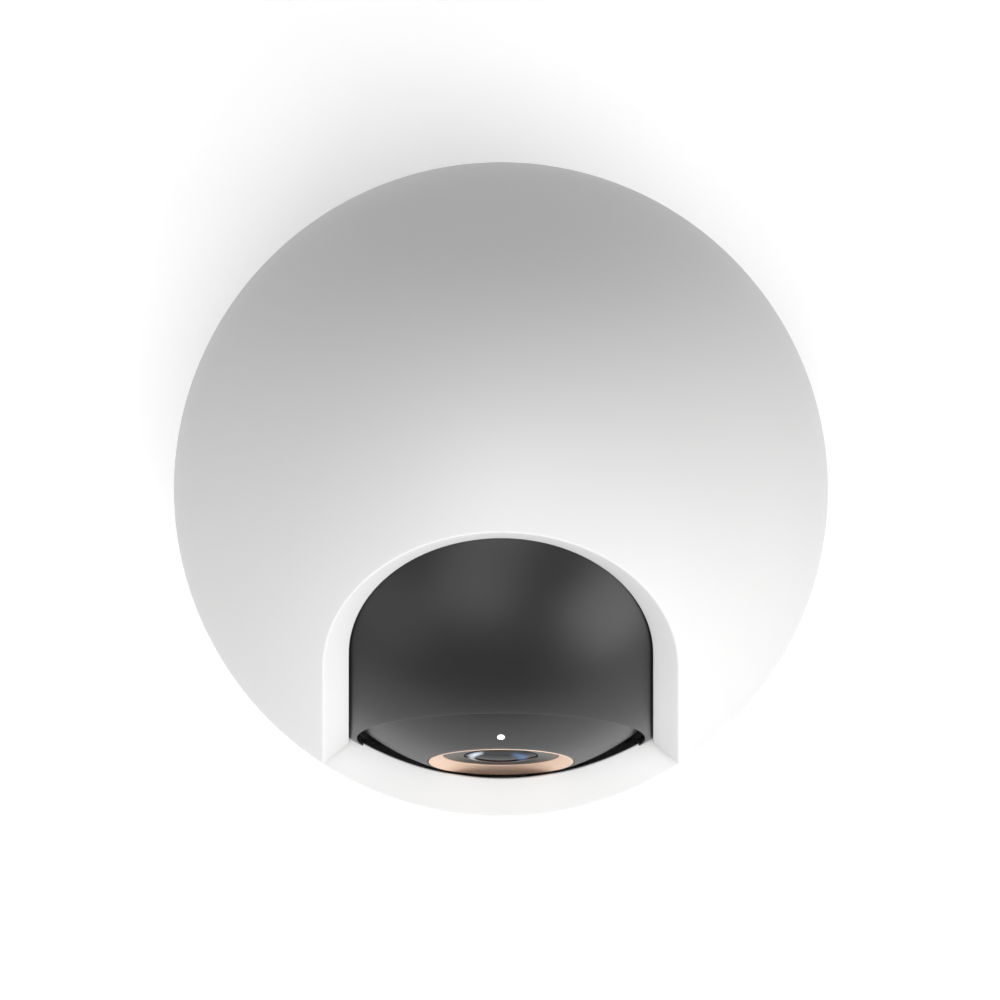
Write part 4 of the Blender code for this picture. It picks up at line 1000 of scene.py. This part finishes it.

# %% [markdown]
# ## Glass, light, board and rubber
# A coated lens looks black, with a pale glint on one side and a blue one on the other. Real glass would need
# a barrel full of optics behind it, so a black base carries the two glints as painted reflections: soft humps
# of colour across the glass. The status light glows a little. A board is green lacquer over copper tracks,
# and rubber is nearly black with a coarse grain.

# %% Other finishes
def lens_finish():
    """Black glass with a painted pale glint on one side and a painted blue glint on the other, in its base
    colour.
    """
    finish = Finish("coated_lens_painted_glints", (0.0, 0.001, 0.004), 0.06, 0.0, Specular_IOR_Level=0.05)
    split = finish.node("ShaderNodeSeparateXYZ", Vector=axis_place(finish, CENTRE, LENS_TILT))
    across = finish.wire(split, "X") * (1.0 / GLASS_R)
    up = finish.wire(split, "Y") * (1.0 / GLASS_R)
    share = (across * across + up * up) ** 0.5
    # Painted reflections: a pale glint near the rim on one side and a blue glint on the other, as humps of
    # base colour.
    rim = finish.band(share, 0.84, 0.13)
    pale = rim * finish.band(across, -0.72, 0.26)
    painted_blue_glint = finish.band(share, 0.66, 0.2) * finish.band(across, 0.55, 0.3)
    with_painted_blue_glint = finish.blend(painted_blue_glint, (0.0, 0.0008, 0.003), (0.04, 0.10, 0.22))
    finish.set(Base_Color=finish.blend(pale, with_painted_blue_glint, (0.55, 0.64, 0.72)))
    finish.set(Roughness=finish.noise(900.0) * 0.02 + 0.05)
    return finish.material


def light_finish():
    """A clear white moulding that glows."""
    finish = Finish("status_light_plastic", (0.9, 0.93, 0.96), 0.25, 0.0, Emission_Strength=1.6)
    finish.set(Emission_Color=finish.blend(finish.noise(900.0), (0.92, 0.96, 1.0), (1.0, 1.0, 1.0)))
    finish.set(Roughness=finish.noise(2000.0) * 0.1 + 0.2)
    return finish.material


def board_finish():
    """Green lacquer with paler tracks under it."""
    finish = Finish("circuit_board_lacquer", (0.01, 0.12, 0.05), 0.4)
    tracks = finish.node("ShaderNodeTexBrick", Vector=finish.place(), Scale=260.0, Mortar_Size=0.06)
    mask = finish.wire(tracks, "Fac")
    finish.set(Base_Color=finish.blend(mask, (0.008, 0.10, 0.04), (0.03, 0.22, 0.08)))
    finish.set(Roughness=mask * 0.2 + 0.3)
    finish.bump(mask, 0.4, 0.03 * MM)
    return finish.material


LENS_GLASS = lens_finish()
STATUS_LIGHT = light_finish()
BOARD = board_finish()
RUBBER = plastic("pad_rubber", (0.022, 0.022, 0.022), 0.82, 1800.0, 0.03, 0.15)
EMITTER = plastic("emitter_resin", (0.10, 0.09, 0.12), 0.2, coat=0.5)
print("lens finish uses", len(LENS_GLASS.node_tree.nodes), "nodes")

# %% [markdown]
# # Putting it together
# Each new skin rides on the body that its part belongs to and stands for that part. Parts whose solid is
# already right, such as gears, motors and boards, only take a finish.

# %% Finishes for the parts that stay
STAYS = {
    MATT: ["eye_housing", "lens_barrel", "reset_switch", "speaker"],
    INNER_GREY: ["mount_plate", "chassis_plate", "yoke_left", "yoke_right", "lens_bracket"],
    NATURAL: ["pan_post", "pan_gear", "pan_bearing", "bush_left", "bush_right", "tilt_gear", "tilt_pinion",
              "pan_pinion"],
    STEEL: ["power_socket", "tilt_motor", "pan_motor", "trunnion_left", "trunnion_right",
            "chassis_screw_1", "chassis_screw_2", "chassis_screw_3", "chassis_screw_4"],
    BOARD: ["base_board", "main_board", "wifi_antenna", "sensor_board", "ir_board"],
    EMITTER: ["ir_led_1", "ir_led_2", "ir_led_3", "ir_led_4"],
    BUTTON_GREY: ["reset_button"],
}


def paint(piece, material):
    """Gives a piece one material."""
    piece.data.materials.clear()
    piece.data.materials.append(material)


for material, names in STAYS.items():
    for name in names:
        for place in frame["nodes"][name].material_slots:
            place.material = material
print("parts that only take a finish:", sum(len(names) for names in STAYS.values()))

# %% [markdown]
# The table lists, for each skin, the body that carries it, a material slot of the record, its finish and the
# solids it stands for. They could be written out piece by piece, but one table is easier to check.

# %% Ride, paint and replace each new skin
PIECES = [
    (dome, "ball", "white_plastic", WHITE, ["upper_dome"]),
    (bowl, "ball", "white_plastic", WHITE, ["lower_bowl"]),
    (hood, "eye", "black_plastic", HOOD_BLACK, ["hood"]),
    (face, "eye", "smoke_plastic", SMOKE, ["face_dome"]),
    (ring, "eye", "copper_trim", COPPER, ["lens_ring"]),
    (baffle, "eye", "grey_plastic", BAFFLE_GREY, ["lens_baffle"]),
    (glass, "eye", "lens_glass", LENS_GLASS, ["lens_glass"]),
    (light_pin, "eye", "led_plastic", STATUS_LIGHT, ["light_pipe"]),
    (foot, "foot", "white_plastic", FOOT_WHITE, ["base_housing"]),
    (pad, "foot", "rubber", RUBBER, ["base_pad"]),
    (screws, "foot", "steel", SCREW_MATERIAL, ["base_screw_1", "base_screw_2", "base_screw_3"]),
]
for piece, body, slot_name, material, nodes in PIECES:
    paint(piece, material)
    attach(piece, body)
    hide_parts(*nodes)
print("new skins:", len(PIECES))

# %% [markdown]
# # Studio
# The camera looks straight down the pan axis, as from a ceiling, with the lens pointing to the bottom of the
# view. The floor is pale and plain, and glows a little, as a lit table does. Without that glow the ball's
# shadow would grey it.

# %% Floor
FLOOR_HALF = 8.0
FLOOR_GLOW = 0.34


def make_floor():
    shape = bmesh.new()
    bmesh.ops.create_grid(shape, x_segments=1, y_segments=1, size=FLOOR_HALF)
    mesh = bpy.data.meshes.new("studio_floor")
    shape.to_mesh(mesh)
    shape.free()
    floor = bpy.data.objects.new("studio_floor", mesh)
    bpy.context.scene.collection.objects.link(floor)
    finish = Finish("pale_floor", (0.80, 0.80, 0.80), 0.9, 0.0, Emission_Strength=FLOOR_GLOW,
                    Emission_Color=(1.0, 1.0, 1.0, 1.0))
    finish.set(Roughness=finish.noise(40.0) * 0.05 + 0.85)
    floor.data.materials.append(finish.material)


make_floor()
print("floor", 2 * FLOOR_HALF, "m wide")

# %% [markdown]
# A real studio lights such a ball with soft boxes. A wide panel close by gives soft edges to every highlight,
# so the gloss shows without hard spots. The strongest light comes from above and from the right of the lens,
# and the back stays dim, so the white turns grey away from the lens. The camera doesn't see the panels.

# %% Lights
AIR_COLOUR = (0.9, 0.93, 0.96, 1.0)
AIR_STRENGTH = 0.02
PANELS = [
    ("right_panel", (2.0, 0.0, 0.643), (1.6, 1.6), 1.28),
    ("left_panel", (-2.0, 0.0, 0.643), (1.6, 1.6), 3.92),
    ("front_panel", (0.0, -1.0, 0.45), (0.9, 0.7), 0.48),
    ("top_panel", (0.0, 0.0, 1.5), (0.9, 0.9), 12.0),
    ("front_right_panel", (0.75, -0.75, 0.5), (0.7, 0.7), 7.26),
    ("front_left_panel", (-0.75, -0.75, 0.5), (0.7, 0.7), 2.6),
    ("top_right_panel", (0.9, -0.2, 1.0), (0.7, 0.7), 2.14),
    ("top_front_panel", (-0.2, -0.8, 1.1), (0.7, 0.7), 4.78),
]


def panel(name, place, size, power):
    """A soft light that faces the ball: its place and size in metres, and its power in watts."""
    light = bpy.data.lights.new(name, "AREA")
    light.shape = "RECTANGLE"
    light.size, light.size_y = size
    light.energy = power
    holder = bpy.data.objects.new(name, light)
    holder.location = place
    away = CENTRE - Vector(place)
    holder.rotation_euler = away.to_track_quat("-Z", "Y").to_euler()
    holder.visible_camera = False
    bpy.context.scene.collection.objects.link(holder)


for name, place, size, power in PANELS:
    panel(name, place, size, power)
print("panels:", len(PANELS), "with", round(sum(row[-1] for row in PANELS), 1), "W in all")

world = bpy.data.worlds.new("studio_air")
world.use_nodes = True
world.node_tree.nodes["Background"].inputs["Color"].default_value = AIR_COLOUR
world.node_tree.nodes["Background"].inputs["Strength"].default_value = AIR_STRENGTH
bpy.context.scene.world = world
bpy.context.scene.view_settings.view_transform = "Standard"
bpy.context.scene.view_settings.look = "None"

# %% [markdown]
# ## Camera
# From straight above, the ball's outline is a true circle. A camera without perspective keeps it so, and
# shows the window's slope by its real shape alone. Its width of view is in metres, like everything else.

# %% Camera
FRAME_WIDE = 183.4 * MM
FRAME_SHIFT = Vector((-0.18 * MM, -1.98 * MM, 0.0))
CAMERA_HIGH = 1.2
view = bpy.data.cameras.new("camera")
view.type = "ORTHO"
view.ortho_scale = FRAME_WIDE
view.clip_end = 20.0
camera = bpy.data.objects.new("camera", view)
camera.location = Vector((CENTRE.x, CENTRE.y, CAMERA_HIGH)) + FRAME_SHIFT
bpy.context.scene.collection.objects.link(camera)
bpy.context.scene.camera = camera
print("camera sees", round(FRAME_WIDE / MM, 1), "mm across")
